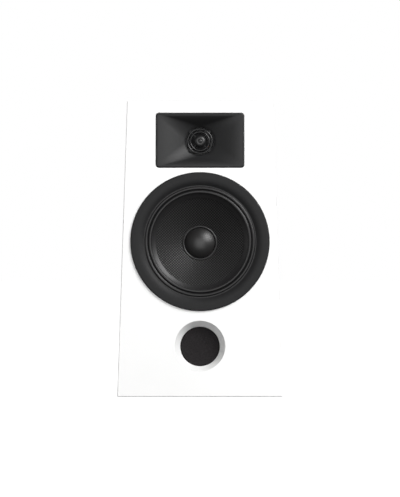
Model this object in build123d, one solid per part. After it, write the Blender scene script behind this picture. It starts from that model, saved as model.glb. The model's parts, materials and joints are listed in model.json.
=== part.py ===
from build123d import *

import os
from math import cos, radians, sin, tan

# A two-way bass-reflex bookshelf speaker, in millimetres. The front faces -Y, +Z is up, and the
# origin is in the middle of the bottom's rectangle. The cabinet is a truncated pyramid: its sides
# taper and its front leans back, so each driver is drawn in the baffle's own frame, with local +Z
# pointing straight out of the baffle, and is then placed on it.

# Cabinet
HEIGHT = 380.0
BOTTOM_WIDTH = 212.0
TOP_WIDTH = 188.0
DEPTH = 265.0
LEAN_DEG = 4.0
WALL = 15.0
BAFFLE = 18.0
EDGE_ROUND = 1.2
BRACE_Z = 282.0
BRACE_THICKNESS = 10.0
FELT = 8.0
BACK_FELT = 18.0

# Heights of the centres on the baffle
TWEETER_Z = 329.5
WOOFER_Z = 199.0
PORT_Z = 65.0

# Woofer: radii, and heights above the baffle's face
TRIM_R = 89.5
TRIM_PROUD = 2.6
FLANGE_R = 86.8
CUTOUT_R = 75.5
REBATE_DEPTH = 7.0
SURROUND_R = 71.5
CONE_R = 60.5
NECK_R = 16.6
RIM_Z = -2.6
NECK_Z = -27.6
CAP_R = 19.0
CAP_HEIGHT = 7.0
WOOFER_SCREWS = 6
WOOFER_SCREW_R = 82.3
SPIDER_Z = -50.0
PLATE_Z = -62.0
MAGNET_DEPTH = 16.0

# Tweeter
HORN_WIDTH = 114.0
HORN_HEIGHT = 71.0
HORN_CORNER = 4.0
HORN_PROUD = 0.8
HORN_REBATE = 3.2
THROAT_R = 18.5
THROAT_Z = -14.0
DOME_R = 12.5
DOME_Z = -18.6
DOME_HEIGHT = 4.2

# Port
PORT_R = 25.5
FLARE_R = 32.5
FLARE_DEPTH = 13.0
PORT_WALL = 3.0
PORT_LENGTH = 106.5
TUBE_Z = -13.5
PLUG_RECESS = 13.5
PLUG_LENGTH = 60.0

# Rear terminals, with local +Z pointing out of the back
CUP_Z = 115.0
CUP_WIDTH = 89.0
CUP_HEIGHT = 69.0
CUP_RECESS = 23.0
CUP_SKIN = 3.0
POST_PITCH = 19.0
POST_R = 4.0
SOCKET_R = 2.0
KNOB_R = 7.0

os.makedirs("parts", exist_ok=True)
parts = {}


# ---------------------------------------------------------------- shape helpers


def ring(inner, outer, low, high):
    """A plain ring about local Z."""
    return Pos(0, 0, low) * extrude(Circle(outer) - Circle(inner), high - low)


def disc(radius, low, high):
    """A plain disc about local Z."""
    return Pos(0, 0, low) * extrude(Circle(radius), high - low)


def turned(*edges):
    """A solid of revolution about local Z from a closed outline of (radius, height) edges."""
    return revolve(Plane.XZ * make_face(edges), Axis.Z)


def turned_polygon(*points):
    """A solid of revolution from the corners of its (radius, height) outline."""
    return turned(*Polyline(*points, close=True).edges())


def block(x, y, z):
    """A box between three (low, high) pairs."""
    size = [high - low for low, high in (x, y, z)]
    middle = [(high + low) / 2 for low, high in (x, y, z)]
    return Pos(*middle) * Box(*size)


def rounded_block(width, height, corner, low, high):
    """A plate with round corners, between two heights."""
    return Pos(0, 0, low) * extrude(RectangleRounded(width, height, corner), high - low)


def screw_hole(head_r, shank_r, length):
    """The hole that a countersunk screw fills: its head's face is at local zero, its shank below."""
    cone_depth = head_r - shank_r
    return turned_polygon(
        (0, 0), (head_r, 0), (head_r, -0.4), (shank_r, -0.4 - cone_depth),
        (shank_r, -length + shank_r), (0, -length),
    )


def screw(head_r, shank_r, length):
    """A countersunk cross-head screw, which fills its hole."""
    slot = block((-head_r * 0.55, head_r * 0.55), (-head_r * 0.13, head_r * 0.13), (-1.2, 1))
    return screw_hole(head_r, shank_r, length) - slot - Rot(0, 0, 90) * slot


def around(count, radius, shape, first_deg=0.0):
    """Copies of a shape on a circle about local Z."""
    return [Rot(0, 0, first_deg + 360 * i / count) * Pos(radius, 0, 0) * shape for i in range(count)]


def joined(shapes):
    """Shapes as one node: a single shape, or a compound of separate solids."""
    solids = [solid for shape in shapes for solid in shape.solids()]
    return solids[0] if len(solids) == 1 else Compound(children=solids)


def cut(body, tools):
    """A body less each of the tools."""
    for tool in tools:
        body = body - tool
    return body


def cable(points, diameter):
    """A round cable along straight runs joined by arcs as large as the runs allow."""
    vectors = [Vector(*point) for point in points]
    radii = []
    for before, here, after in zip(vectors, vectors[1:], vectors[2:]):
        turn = (here - before).get_angle(after - here)
        shorter = min((here - before).length, (after - here).length)
        radii.append(0.45 * shorter / tan(radians(turn / 2)))
    print("cable radii", [round(radius, 1) for radius in radii])
    path = FilletPolyline(*points, radius=radii)
    return sweep(Plane(path @ 0, z_dir=path % 0) * Circle(diameter / 2), path=path)


# ---------------------------------------------------------------- frames


def front_y(height):
    """Where the leaning front is at a height."""
    return -DEPTH / 2 + height * tan(radians(LEAN_DEG))


def on_baffle(height):
    """The baffle's own frame at a height: local X is to the right, local Z straight out."""
    out = (0, -cos(radians(LEAN_DEG)), sin(radians(LEAN_DEG)))
    return Plane(origin=(0, front_y(height), height), x_dir=(1, 0, 0), z_dir=out).location


ON_WOOFER = on_baffle(WOOFER_Z)
ON_TWEETER = on_baffle(TWEETER_Z)
ON_PORT = on_baffle(PORT_Z)
ON_CUP = Plane(origin=(0, DEPTH / 2, CUP_Z), x_dir=(-1, 0, 0), z_dir=(0, 1, 0)).location


# ---------------------------------------------------------------- woofer


def cone_face(offset=0.0):
    """The cone's front line, from its neck to its rim, moved back by an offset."""
    middle_r = (CONE_R + NECK_R) / 2
    middle_z = (RIM_Z + NECK_Z) / 2 - 1.4
    return ThreePointArc(
        (NECK_R, NECK_Z - offset), (middle_r, middle_z - offset), (CONE_R, RIM_Z - offset)
    )


def cone_shell(thickness):
    """Everything from the cone's front face back to a thickness behind it."""
    front = cone_face()
    back = cone_face(thickness)
    return turned(front, back, Line(front @ 0, back @ 0), Line(front @ 1, back @ 1))


# The deep zone behind the cone's front face, which trims what is glued onto the face.
behind_cone = cone_shell(30)

# Front trim: a dished cosmetic ring that hides the screws.
trim_top = TRIM_PROUD
parts["woofer_trim_ring"] = ON_WOOFER * turned(
    Line((72.6, -1.0), (80, -1.0)),
    Line((80, -1.0), (80, -2.1)),
    Line((80, -2.1), (86.6, -2.1)),
    Line((86.6, -2.1), (86.6, 0)),
    Line((86.6, 0), (TRIM_R, 0)),
    Line((TRIM_R, 0), (TRIM_R, trim_top - 1.0)),
    RadiusArc((TRIM_R, trim_top - 1.0), (TRIM_R - 1, trim_top), -1.0),
    Line((TRIM_R - 1, trim_top), (81, trim_top)),
    ThreePointArc((81, trim_top), (76.5, 1.6), (73.2, -0.1)),
    Line((73.2, -0.1), (72.6, -0.5)),
    Line((72.6, -0.5), (72.6, -1.0)),
)

# Basket: flange in the rebate, eight legs, a ledge for the spider and a seat on the front plate.
basket = turned_polygon(
    (74, -6), (FLANGE_R, -6), (FLANGE_R, -2.2), (71.5, -2.2), (71.5, -6),
    (70, -30), (47, -53), (47, -51), (43, -51), (43, -58), (30, -58), (30, PLATE_Z),
    (52, PLATE_Z), (52, -56), (73, -32), (74, -12),
)
window = block((40, 90), (-17, 17), (-48, -16))
basket = cut(basket, around(8, 0, window))
basket = basket + block((-10, 10), (-60, -48), (PLATE_Z, -59))
WOOFER_SCREW = (3.0, 1.9, 15)
ON_FLANGE = Pos(0, 0, -2.2)
woofer_holes = around(WOOFER_SCREWS, WOOFER_SCREW_R, ON_FLANGE * screw_hole(*WOOFER_SCREW), 30)
woofer_screws = around(WOOFER_SCREWS, WOOFER_SCREW_R, ON_FLANGE * screw(*WOOFER_SCREW), 30)
parts["woofer_basket"] = ON_WOOFER * cut(basket, woofer_holes)
parts["woofer_screws"] = ON_WOOFER * joined(woofer_screws)
parts["woofer_gasket"] = ON_WOOFER * cut(ring(76, 86, -7, -6), woofer_holes)

# Surround: a flat foot on the basket, two half-round rolls and a flange down onto the cone.
ROLL = (SURROUND_R - 61.9) / 2
ROLL_SKIN = 0.8


def surround_line(drop):
    """The front line of the surround, moved back by its skin."""
    valley = SURROUND_R - ROLL
    inner = SURROUND_R - 2 * ROLL
    foot = -1.2 - drop
    return [
        Line((79, foot), (SURROUND_R, foot)),
        ThreePointArc((SURROUND_R, foot), (SURROUND_R - ROLL / 2, foot + 2.2), (valley, foot)),
        ThreePointArc((valley, foot), (valley - ROLL / 2, foot + 2.2), (inner, foot)),
        Line((inner, foot), (57, -4.0 - drop)),
    ]


surround = turned(
    *surround_line(0), *surround_line(ROLL_SKIN),
    Line((79, -1.2), (79, -1.2 - ROLL_SKIN)), Line((57, -4.0), (57, -4.0 - ROLL_SKIN)),
)
parts["woofer_surround"] = ON_WOOFER * (surround - behind_cone)

# Cone, dust cap and the collar of glue around it.
parts["woofer_cone"] = ON_WOOFER * cone_shell(0.8)
CAP_Z = NECK_Z + 3.6
cap_outside = ThreePointArc((-CAP_R, CAP_Z), (0, CAP_Z + CAP_HEIGHT), (CAP_R, CAP_Z))
cap_sphere_r = (CAP_R**2 + CAP_HEIGHT**2) / (2 * CAP_HEIGHT)
cap_centre = Pos(0, 0, CAP_Z + CAP_HEIGHT - cap_sphere_r)
cap = cap_centre * (Sphere(cap_sphere_r) - Sphere(cap_sphere_r - 0.8))
cap = cap & disc(CAP_R, CAP_Z - 6, 0)
cap = cap + ring(CAP_R - 0.8, CAP_R, CAP_Z - 3, CAP_Z + 0.1)
cap = (cap & disc(CAP_R, CAP_Z - 3, 0)) - behind_cone
parts["woofer_dust_cap"] = ON_WOOFER * cap
collar = turned_polygon((CAP_R + 0.1, -29), (CAP_R + 0.1, -24.6), (21.4, -23.8), (23.4, -24.6), (23.4, -29))
parts["woofer_cap_collar"] = ON_WOOFER * (collar - behind_cone)

# Motor: former and winding ride with the cone, and the rest is fixed to the basket.
parts["woofer_coil_former"] = ON_WOOFER * ring(NECK_R - 0.4, NECK_R, -70, NECK_Z + 2)
parts["woofer_voice_coil"] = ON_WOOFER * ring(NECK_R, NECK_R + 0.7, -70, -60)
parts["woofer_front_plate"] = ON_WOOFER * ring(NECK_R + 1.2, 48, PLATE_Z - 6, PLATE_Z)
magnet_low = PLATE_Z - 6 - MAGNET_DEPTH
parts["woofer_magnet"] = ON_WOOFER * ring(24, 50, magnet_low, PLATE_Z - 6)
parts["woofer_yoke"] = ON_WOOFER * (
    disc(48, magnet_low - 6, magnet_low) + disc(15.6, magnet_low, PLATE_Z + 1) - disc(6, -100, -50)
)

# Spider: a corrugated disc from the former to the basket's ledge.
SPIDER_IN = NECK_R
SPIDER_OUT = 49.0
SPIDER_WAVES = 5


def spider_line(drop):
    """The front line of the corrugations."""
    step = (SPIDER_OUT - 5 - SPIDER_IN) / (2 * SPIDER_WAVES)
    line = []
    for i in range(2 * SPIDER_WAVES):
        start = SPIDER_IN + i * step
        lift = 1.2 if i % 2 else -1.2
        line.append(
            ThreePointArc(
                (start, SPIDER_Z - drop), (start + step / 2, SPIDER_Z + lift - drop),
                (start + step, SPIDER_Z - drop),
            )
        )
    return line + [Line((SPIDER_OUT - 5, SPIDER_Z - drop), (SPIDER_OUT - 2.2, SPIDER_Z - drop))]


spider = turned(
    *spider_line(0), *spider_line(0.6),
    Line((SPIDER_IN, SPIDER_Z), (SPIDER_IN, SPIDER_Z - 0.6)),
    Line((SPIDER_OUT - 2.2, SPIDER_Z), (SPIDER_OUT - 2.2, SPIDER_Z - 0.6)),
)
parts["woofer_spider"] = ON_WOOFER * spider

# Terminal strip under the basket's tab, and the two tinsel leads that flex with the cone.
STRIP_Z = PLATE_Z - 1.6
parts["woofer_terminal_strip"] = ON_WOOFER * (
    block((-13, 13), (-66, -52.5), (STRIP_Z, PLATE_Z))
    + block((-9.5, -6.5), (-74, -60), (STRIP_Z - 0.8, STRIP_Z))
    + block((6.5, 9.5), (-74, -60), (STRIP_Z - 0.8, STRIP_Z))
)
leads = [
    cable([(x, -63, PLATE_Z + 0.4), (x, -62, -50), (x, -52, -36), (x, -40, -28), (x, -34, -20)], 1.0)
    for x in (-5.0, 5.0)
]
parts["woofer_tinsel_leads"] = ON_WOOFER * (joined(leads) - cone_shell(1.0))


# ---------------------------------------------------------------- tweeter


def loft_through(*sections):
    """A smooth solid through rounded rectangles given as (height, width, depth, corner)."""
    return loft([Pos(0, 0, z) * RectangleRounded(w, h, r) for z, w, h, r in sections])


HORN_FLANGE_R = 29.0
HORN_BACK = THROAT_Z - 4
horn_air = loft_through(
    (HORN_PROUD + 0.1, HORN_WIDTH - 4, HORN_HEIGHT - 4, 3),
    (-1.4, 92, 58, 9),
    (-4, 74, 51, 16),
    (-9, 50, 44, 20),
    (THROAT_Z, 2 * THROAT_R, 2 * THROAT_R, THROAT_R - 1),
)
horn_body = loft_through((-3.0, 102, 60, 8), (-6, 84, 58, 18), (-11, 60, 53, 22), (-16, 46, 46, 21))
BOSS_X = 44.0
BOSS_Y = 18.0
boss_places = [Pos(x, y, 0) for x in (-BOSS_X, BOSS_X) for y in (-BOSS_Y, BOSS_Y)]
horn = rounded_block(HORN_WIDTH, HORN_HEIGHT, HORN_CORNER, -HORN_REBATE, HORN_PROUD)
horn = chamfer(horn.faces().sort_by(Axis.Z)[-1].edges(), 0.5)
horn = horn + horn_body + disc(HORN_FLANGE_R, HORN_BACK, HORN_BACK + 2.5)
horn = horn + block((24, 37.5), (-8, 8), (HORN_BACK, HORN_BACK + 2.5))
for place in boss_places:
    horn = horn + place * disc(4, -18, -2)
CLAMP_SCREW = (3.0, 1.5, 14)
from_behind = [place * Pos(0, 0, -20) * Rot(180, 0, 0) for place in boss_places]
clamp_holes = [place * screw_hole(*CLAMP_SCREW) for place in from_behind]
horn = cut(horn - horn_air - disc(THROAT_R, -30, THROAT_Z + 0.5), clamp_holes)
parts["tweeter_horn_plate"] = ON_TWEETER * horn

# Clamp bars behind the baffle pull the plate into its rebate.
bars = [Pos(x, 0, 0) * block((-6, 6), (-34, 34), (-20, -18)) for x in (-BOSS_X, BOSS_X)]
parts["tweeter_clamp_bars"] = ON_TWEETER * joined([cut(bar, clamp_holes) for bar in bars])
parts["tweeter_clamp_screws"] = ON_TWEETER * joined([place * screw(*CLAMP_SCREW) for place in from_behind])

# Phase pieces in the throat, in front of the dome.
SPOKE_DEG = 45.0
RING_LOW = THROAT_Z + 0.6
RING_HIGH = RING_LOW + 2.6
throat_tabs = around(4, THROAT_R - 1.4, block((-1.0, 1.4), (-2, 2), (RING_LOW, RING_LOW + 2)), SPOKE_DEG)
throat_ring = ring(14.8, 16.6, RING_LOW, RING_HIGH)
for tab in throat_tabs:
    throat_ring = throat_ring + (tab & disc(THROAT_R, -30, 0))
parts["tweeter_throat_ring"] = ON_TWEETER * throat_ring
bulb = Pos(0, 0, RING_LOW - 1.6) * Sphere(8.2) & disc(7.3, RING_LOW, 0)
plug = bulb + ring(10.6, 12.8, RING_LOW, RING_LOW + 2.2)
for spoke in around(4, 0, block((5, 14.9), (-1.1, 1.1), (RING_LOW, RING_LOW + 1.8)), SPOKE_DEG):
    plug = plug + spoke
parts["tweeter_phase_plug"] = ON_TWEETER * (plug & disc(14.8, -30, 0))

# Dome, its surround and the coil.
TWEETER_PLATE = HORN_BACK - 1
dome_sphere_r = (DOME_R**2 + DOME_HEIGHT**2) / (2 * DOME_HEIGHT)
dome = Pos(0, 0, DOME_Z + DOME_HEIGHT - dome_sphere_r) * (Sphere(dome_sphere_r) - Sphere(dome_sphere_r - 0.4))
parts["tweeter_dome"] = ON_TWEETER * (dome & disc(DOME_R, DOME_Z, 0))
dome_roll_out = ThreePointArc((12.6, DOME_Z), (14.2, DOME_Z + 1.4), (15.8, DOME_Z))
dome_roll_in = ThreePointArc((13.0, DOME_Z), (14.2, DOME_Z + 1.0), (15.4, DOME_Z))
parts["tweeter_dome_surround"] = ON_TWEETER * (
    turned(dome_roll_out, dome_roll_in, Line((12.6, DOME_Z), (13.0, DOME_Z)), Line((15.4, DOME_Z), (15.8, DOME_Z)))
    + ring(15.3, 18.2, TWEETER_PLATE, DOME_Z)
)
coil_low = TWEETER_PLATE - 5
parts["tweeter_voice_coil"] = ON_TWEETER * (
    ring(12.0, 12.4, coil_low, DOME_Z) + ring(12.3, 12.9, coil_low, coil_low + 4)
)
tweeter_gasket = ring(18.6, HORN_FLANGE_R, TWEETER_PLATE, HORN_BACK)
parts["tweeter_gasket"] = ON_TWEETER * tweeter_gasket
yoke_top = TWEETER_PLATE - 14
parts["tweeter_front_plate"] = ON_TWEETER * ring(13.3, HORN_FLANGE_R, TWEETER_PLATE - 4, TWEETER_PLATE)
parts["tweeter_magnet"] = ON_TWEETER * ring(17, HORN_FLANGE_R, yoke_top, TWEETER_PLATE - 4)
parts["tweeter_yoke"] = ON_TWEETER * (
    disc(28, yoke_top - 4.5, yoke_top) + disc(11.6, yoke_top, TWEETER_PLATE - 0.5) - disc(4, yoke_top - 10, 0)
)
parts["tweeter_rear_chamber"] = ON_TWEETER * (
    disc(26, yoke_top - 19, yoke_top - 4.5) - disc(24, yoke_top - 17, yoke_top - 4)
)
parts["tweeter_terminals"] = ON_TWEETER * joined(
    [block((29.5, 37.5), (y - 2.4, y + 2.4), (HORN_BACK - 0.8, HORN_BACK)) for y in (-5.0, 5.0)]
)


# ---------------------------------------------------------------- port

parts["port_tube"] = ON_PORT * ring(PORT_R, PORT_R + PORT_WALL, TUBE_Z - PORT_LENGTH, TUBE_Z)
foam = disc(PORT_R - 0.35, -PLUG_RECESS - PLUG_LENGTH, -PLUG_RECESS)
foam = fillet(foam.edges(), 1.2)
parts["port_foam_plug"] = ON_PORT * foam


# ---------------------------------------------------------------- rear terminals

CUP_OPEN_W = CUP_WIDTH - 20
CUP_OPEN_H = CUP_HEIGHT - 20
CUP_FLOOR = -CUP_RECESS
cup_outside = rounded_block(CUP_OPEN_W + 2 * CUP_SKIN, CUP_OPEN_H + 2 * CUP_SKIN, 8, CUP_FLOOR - CUP_SKIN, -1)
cup = rounded_block(CUP_WIDTH, CUP_HEIGHT, 8, -CUP_SKIN, 0)
cup = cup + cup_outside - rounded_block(CUP_OPEN_W, CUP_OPEN_H, 5, CUP_FLOOR, 1)
CUP_SCREW = (3.2, 1.75, 16)
cup_corners = [
    Pos(x, y, 0)
    for x in (-CUP_WIDTH / 2 + 5, CUP_WIDTH / 2 - 5)
    for y in (-CUP_HEIGHT / 2 + 5, CUP_HEIGHT / 2 - 5)
]
cup_holes = [place * screw_hole(*CUP_SCREW) for place in cup_corners]
cup = cut(cup, cup_holes)
STUD_R = 3.0
post_places = {"red": Pos(-POST_PITCH / 2, 0, CUP_FLOOR), "black": Pos(POST_PITCH / 2, 0, CUP_FLOOR)}
for place in post_places.values():
    cup = cup - place * disc(STUD_R, -10, 1)
parts["terminal_cup"] = ON_CUP * cup
parts["terminal_cup_screws"] = ON_CUP * joined([place * screw(*CUP_SCREW) for place in cup_corners])

# One binding post: shoulder, threaded barrel with a 4 mm socket, wire hole and rear stud.
post = disc(6.5, 0, 2) + disc(POST_R, 0, 20) + disc(STUD_R, -16, 0)
post = chamfer(post.edges().group_by(Axis.Z)[-1], 0.4) - disc(SOCKET_R, 4, 21)
washer = ring(POST_R + 0.1, 6.8, 2.1, 3.3)
knob = ring(POST_R + 0.06, KNOB_R, 3.5, 20.5)
knob = chamfer(knob.edges().group_by(Axis.Z)[-1].sort_by(SortBy.LENGTH)[-1], 1.0)
for flute in around(12, KNOB_R + 0.5, disc(1.1, 5, 19)):
    knob = knob - flute
nut = Pos(0, 0, -3 - 3.5) * extrude(RegularPolygon(5.6, 6) - Circle(STUD_R), 3.5)
tag = block((-4, 4), (-5, 14), (-7.3, -6.5)) - disc(STUD_R, -10, 0)
for colour, place in post_places.items():
    parts[f"binding_post_{colour}"] = ON_CUP * (place * post)
    parts[f"clamp_washer_{colour}"] = ON_CUP * (place * washer)
    parts[f"post_knob_{colour}"] = ON_CUP * (place * knob)
parts["post_nuts"] = ON_CUP * joined([place * nut for place in post_places.values()])
parts["post_solder_tags"] = ON_CUP * joined([place * tag for place in post_places.values()])


# ---------------------------------------------------------------- crossover on the bottom panel

BOARD_Y = (25.0, 95.0)
BOARD_Z = WALL + 5
board_top = BOARD_Z + 1.6
corner_places = [Pos(x, y, 0) for x in (-45, 45) for y in (BOARD_Y[0] + 5, BOARD_Y[1] - 5)]
BOARD_SCREW = (2.6, 1.5, 16)
board_places = [place * Pos(0, 0, board_top) for place in corner_places]
board_holes = [place * screw_hole(*BOARD_SCREW) for place in board_places]
parts["crossover_screws"] = joined([place * screw(*BOARD_SCREW) for place in board_places])
board = block((-50, 50), BOARD_Y, (BOARD_Z, board_top))
for place in corner_places:
    board = board + place * disc(3.5, WALL, BOARD_Z)
parts["crossover_board"] = cut(board, board_holes)
parts["woofer_inductor"] = Pos(-22, 50, 0) * ring(8, 20, board_top, board_top + 18)
parts["tweeter_inductor"] = Pos(-24, 83, 0) * ring(4, 10, board_top, board_top + 12)
parts["crossover_capacitors"] = joined(
    [
        Pos(x, y, board_top + r) * Rot(0, 90, 0) * Cylinder(r, length)
        for x, y, r, length in ((20, 42, 8.5, 32), (20, 62, 7, 28), (12, 82, 6, 24))
    ]
)
parts["crossover_resistors"] = joined(
    [block((36, 44), (y, y + 22), (board_top, board_top + 8)) for y in (38, 63)]
)

# Cables: from the posts to the board, and from the board to each driver.
cable_foot = board_top + 0.9
parts["input_cable"] = cable([(0, 98, 106), (0, 98, 80), (0, 101, 55), (0, 97, 35), (0, 92, cable_foot)], 4)
parts["woofer_cable"] = cable(
    [(0, 27, cable_foot), (0, 24, 50), (0, 16, 80), (0, 0, 104), (0, -24, 120), (0, -44, 126), (0, -58, 128)], 4
)
parts["tweeter_cable"] = cable(
    [
        (40, 91, cable_foot), (42, 93, 48), (48, 90, 90), (50, 88, 140), (49, 87, 190),
        (46, 85, 235), (42, 78, 280), (38, 56, 312), (36, 16, 326), (34, -30, 328), (33.5, -70, 328), (33.5, -86.5, 328),
    ],
    4,
)


# ---------------------------------------------------------------- cabinet


def front_outline(inset):
    """The tapered front view as a prism through the depth, with its sides moved in."""
    half_bottom = BOTTOM_WIDTH / 2 - inset
    half_top = TOP_WIDTH / 2 - inset
    corners = ((-half_bottom, 0), (half_bottom, 0), (half_top, HEIGHT), (-half_top, HEIGHT))
    return extrude(Plane.XZ * make_face(Polyline(*corners, close=True)), DEPTH, both=True)


side_corners = ((-DEPTH / 2, 0), (DEPTH / 2, 0), (DEPTH / 2, HEIGHT), (front_y(HEIGHT), HEIGHT))
side_prism = extrude(Plane.YZ * make_face(Polyline(*side_corners, close=True)), BOTTOM_WIDTH, both=True)
hull = front_outline(0) & side_prism
hull = fillet(hull.edges(), EDGE_ROUND)

WIDE = (-200, 200)
baffle_slab = on_baffle(0) * block(WIDE, (-100, 500), (-BAFFLE, 20))
back_slab = block(WIDE, (DEPTH / 2 - WALL, 200), (-10, 500))
inside = front_outline(WALL)
box = hull - baffle_slab - back_slab
sides = (box - inside).solids().sort_by(Axis.X)
middle = box & inside

baffle = hull & baffle_slab
baffle = baffle - ON_WOOFER * (disc(FLANGE_R + 0.4, -REBATE_DEPTH, 10) + disc(CUTOUT_R, -30, 10))
baffle = cut(baffle, [ON_WOOFER * hole for hole in woofer_holes])
horn_rebate = rounded_block(HORN_WIDTH + 0.6, HORN_HEIGHT + 0.6, HORN_CORNER + 0.3, -HORN_REBATE, 10)
baffle = baffle - ON_TWEETER * (horn_rebate + rounded_block(105, 61.5, 10, -30, 10))
flare_air = turned_polygon(
    (0, 1), (FLARE_R + 1, 1), (FLARE_R, 0), (PORT_R, -FLARE_DEPTH), (PORT_R, -30), (0, -30)
)
baffle = baffle - ON_PORT * (flare_air + disc(PORT_R + PORT_WALL, -30, TUBE_Z))
parts["front_baffle"] = baffle

back = hull & back_slab
back = back - ON_CUP * (
    rounded_block(CUP_WIDTH + 0.6, CUP_HEIGHT + 0.6, 8.3, -CUP_SKIN, 5)
    + rounded_block(CUP_OPEN_W + 2 * CUP_SKIN + 1, CUP_OPEN_H + 2 * CUP_SKIN + 1, 8.5, -30, 5)
)
parts["back_panel"] = cut(back, [ON_CUP * hole for hole in cup_holes])
parts["left_side_panel"] = sides[0]
parts["right_side_panel"] = sides[-1]
parts["top_panel"] = middle & block(WIDE, WIDE, (HEIGHT - WALL, 500))
parts["bottom_panel"] = cut(middle & block(WIDE, WIDE, (-10, WALL)), board_holes)

brace = middle & block(WIDE, WIDE, (BRACE_Z - BRACE_THICKNESS / 2, BRACE_Z + BRACE_THICKNESS / 2))
brace = brace - Pos(0, 8, BRACE_Z) * extrude(RectangleRounded(116, 170, 20), 20, both=True)
parts["window_brace"] = brace

felt_zone = inside - front_outline(WALL + FELT)
parts["side_damping_felts"] = joined([felt_zone & block(WIDE, (-70, 95), (100, 265))])
parts["back_damping_pad"] = block((-60, 60), (DEPTH / 2 - WALL - BACK_FELT, DEPTH / 2 - WALL), (165, 270))

for name, part in parts.items():
    part.label = name
    export_step(part, f"parts/{name}.step")
print(len(parts), "parts written")
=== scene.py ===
import json
from math import atan2, cos, hypot, pi, radians, sin

import bmesh
import bpy
from mathutils import Matrix, Vector
from mathutils.noise import noise as swell_at


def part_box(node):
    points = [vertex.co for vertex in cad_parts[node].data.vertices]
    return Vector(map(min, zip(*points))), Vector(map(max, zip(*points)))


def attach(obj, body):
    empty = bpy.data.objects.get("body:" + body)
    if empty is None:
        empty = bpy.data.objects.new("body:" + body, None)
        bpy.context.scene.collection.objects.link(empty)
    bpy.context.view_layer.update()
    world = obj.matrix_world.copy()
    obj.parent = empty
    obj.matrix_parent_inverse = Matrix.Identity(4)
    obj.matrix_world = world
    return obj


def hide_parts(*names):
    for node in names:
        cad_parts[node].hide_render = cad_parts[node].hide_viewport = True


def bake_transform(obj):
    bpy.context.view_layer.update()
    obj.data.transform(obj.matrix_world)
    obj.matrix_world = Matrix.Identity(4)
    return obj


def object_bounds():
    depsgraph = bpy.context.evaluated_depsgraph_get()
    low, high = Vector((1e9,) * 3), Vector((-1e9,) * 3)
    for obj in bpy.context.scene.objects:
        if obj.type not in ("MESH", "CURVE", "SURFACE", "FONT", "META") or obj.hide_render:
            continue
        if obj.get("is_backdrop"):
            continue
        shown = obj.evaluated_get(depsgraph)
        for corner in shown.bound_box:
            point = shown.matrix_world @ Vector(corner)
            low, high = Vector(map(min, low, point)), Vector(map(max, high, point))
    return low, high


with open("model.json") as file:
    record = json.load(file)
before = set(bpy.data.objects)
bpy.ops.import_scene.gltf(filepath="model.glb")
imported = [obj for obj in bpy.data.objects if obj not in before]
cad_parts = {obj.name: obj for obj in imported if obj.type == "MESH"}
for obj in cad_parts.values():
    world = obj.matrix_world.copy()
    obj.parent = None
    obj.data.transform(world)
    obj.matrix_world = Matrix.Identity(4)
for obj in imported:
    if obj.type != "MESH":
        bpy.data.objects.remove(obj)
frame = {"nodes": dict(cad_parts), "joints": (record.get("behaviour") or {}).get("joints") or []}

cad_low, cad_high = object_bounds()

# ---- CABINET ------------
# Six MDF panels glued into a box that narrows upwards and leans back at the front, filled,
# sanded and sprayed with white satin lacquer, so that no joint between the panels shows.
# The port's flared mouth is cut into the front panel and lacquered with it.
MM = 0.001
LACQUER_WHITE = (0.90, 0.90, 0.895, 1)


def new_material(name, colour, roughness):
    """A material with a Principled shader, and the tree's own nodes and links to build on."""
    material = bpy.data.materials.new(name)
    material.use_nodes = True
    nodes, links = material.node_tree.nodes, material.node_tree.links
    shader = nodes["Principled BSDF"]
    shader.inputs["Base Color"].default_value = colour
    shader.inputs["Roughness"].default_value = roughness
    place = nodes.new("ShaderNodeTexCoord")
    return material, nodes, links, shader, place.outputs["Object"]


def mottle(nodes, links, shader, place, scale, pale, dark, detail=4):
    """Colour that wanders between two tones of the same finish."""
    noise = nodes.new("ShaderNodeTexNoise")
    noise.inputs["Scale"].default_value = scale
    noise.inputs["Detail"].default_value = detail
    ramp = nodes.new("ShaderNodeValToRGB")
    ramp.color_ramp.elements[0].position = 0.35
    ramp.color_ramp.elements[1].position = 0.65
    ramp.color_ramp.elements[0].color = dark
    ramp.color_ramp.elements[1].color = pale
    links.new(place, noise.inputs["Vector"])
    links.new(noise.outputs["Fac"], ramp.inputs["Fac"])
    links.new(ramp.outputs["Color"], shader.inputs["Base Color"])
    return noise


def grain(nodes, links, shader, place, scale, height, detail=3, voronoi=False):
    """A fine relief: noise for paint and plastic, cells for foam and leather."""
    kind = "ShaderNodeTexVoronoi" if voronoi else "ShaderNodeTexNoise"
    texture = nodes.new(kind)
    texture.inputs["Scale"].default_value = scale
    texture.inputs["Detail"].default_value = detail
    bump = nodes.new("ShaderNodeBump")
    bump.inputs["Strength"].default_value = 1.0
    bump.inputs["Distance"].default_value = height
    links.new(place, texture.inputs["Vector"])
    links.new(texture.outputs["Distance" if voronoi else "Fac"], bump.inputs["Height"])
    links.new(bump.outputs["Normal"], shader.inputs["Normal"])
    return bump


def shade(colour, factor):
    """A colour made lighter or darker."""
    return tuple(channel * factor for channel in colour[:3]) + (1,)


def mottled(name, colour, roughness, spot, spread, relief, grain_size, metallic=0.0, coat=0.0,
            shine=0.5):
    """A finish with slightly uneven tone and a fine relief; sizes are in metres."""
    material, nodes, links, shader, place = new_material(name, colour, roughness)
    shader.inputs["Metallic"].default_value = metallic
    shader.inputs["Coat Weight"].default_value = coat
    shader.inputs["Coat Roughness"].default_value = 0.15
    shader.inputs["Specular IOR Level"].default_value = shine
    mottle(nodes, links, shader, place, 1 / spot, shade(colour, 1 + spread), shade(colour, 1 - spread))
    grain(nodes, links, shader, place, 1 / grain_size, relief)
    return material


def finish(material, *names):
    """Gives CAD nodes their finish."""
    for name in names:
        for slot in frame["nodes"][name].material_slots:
            slot.material = material


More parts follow.
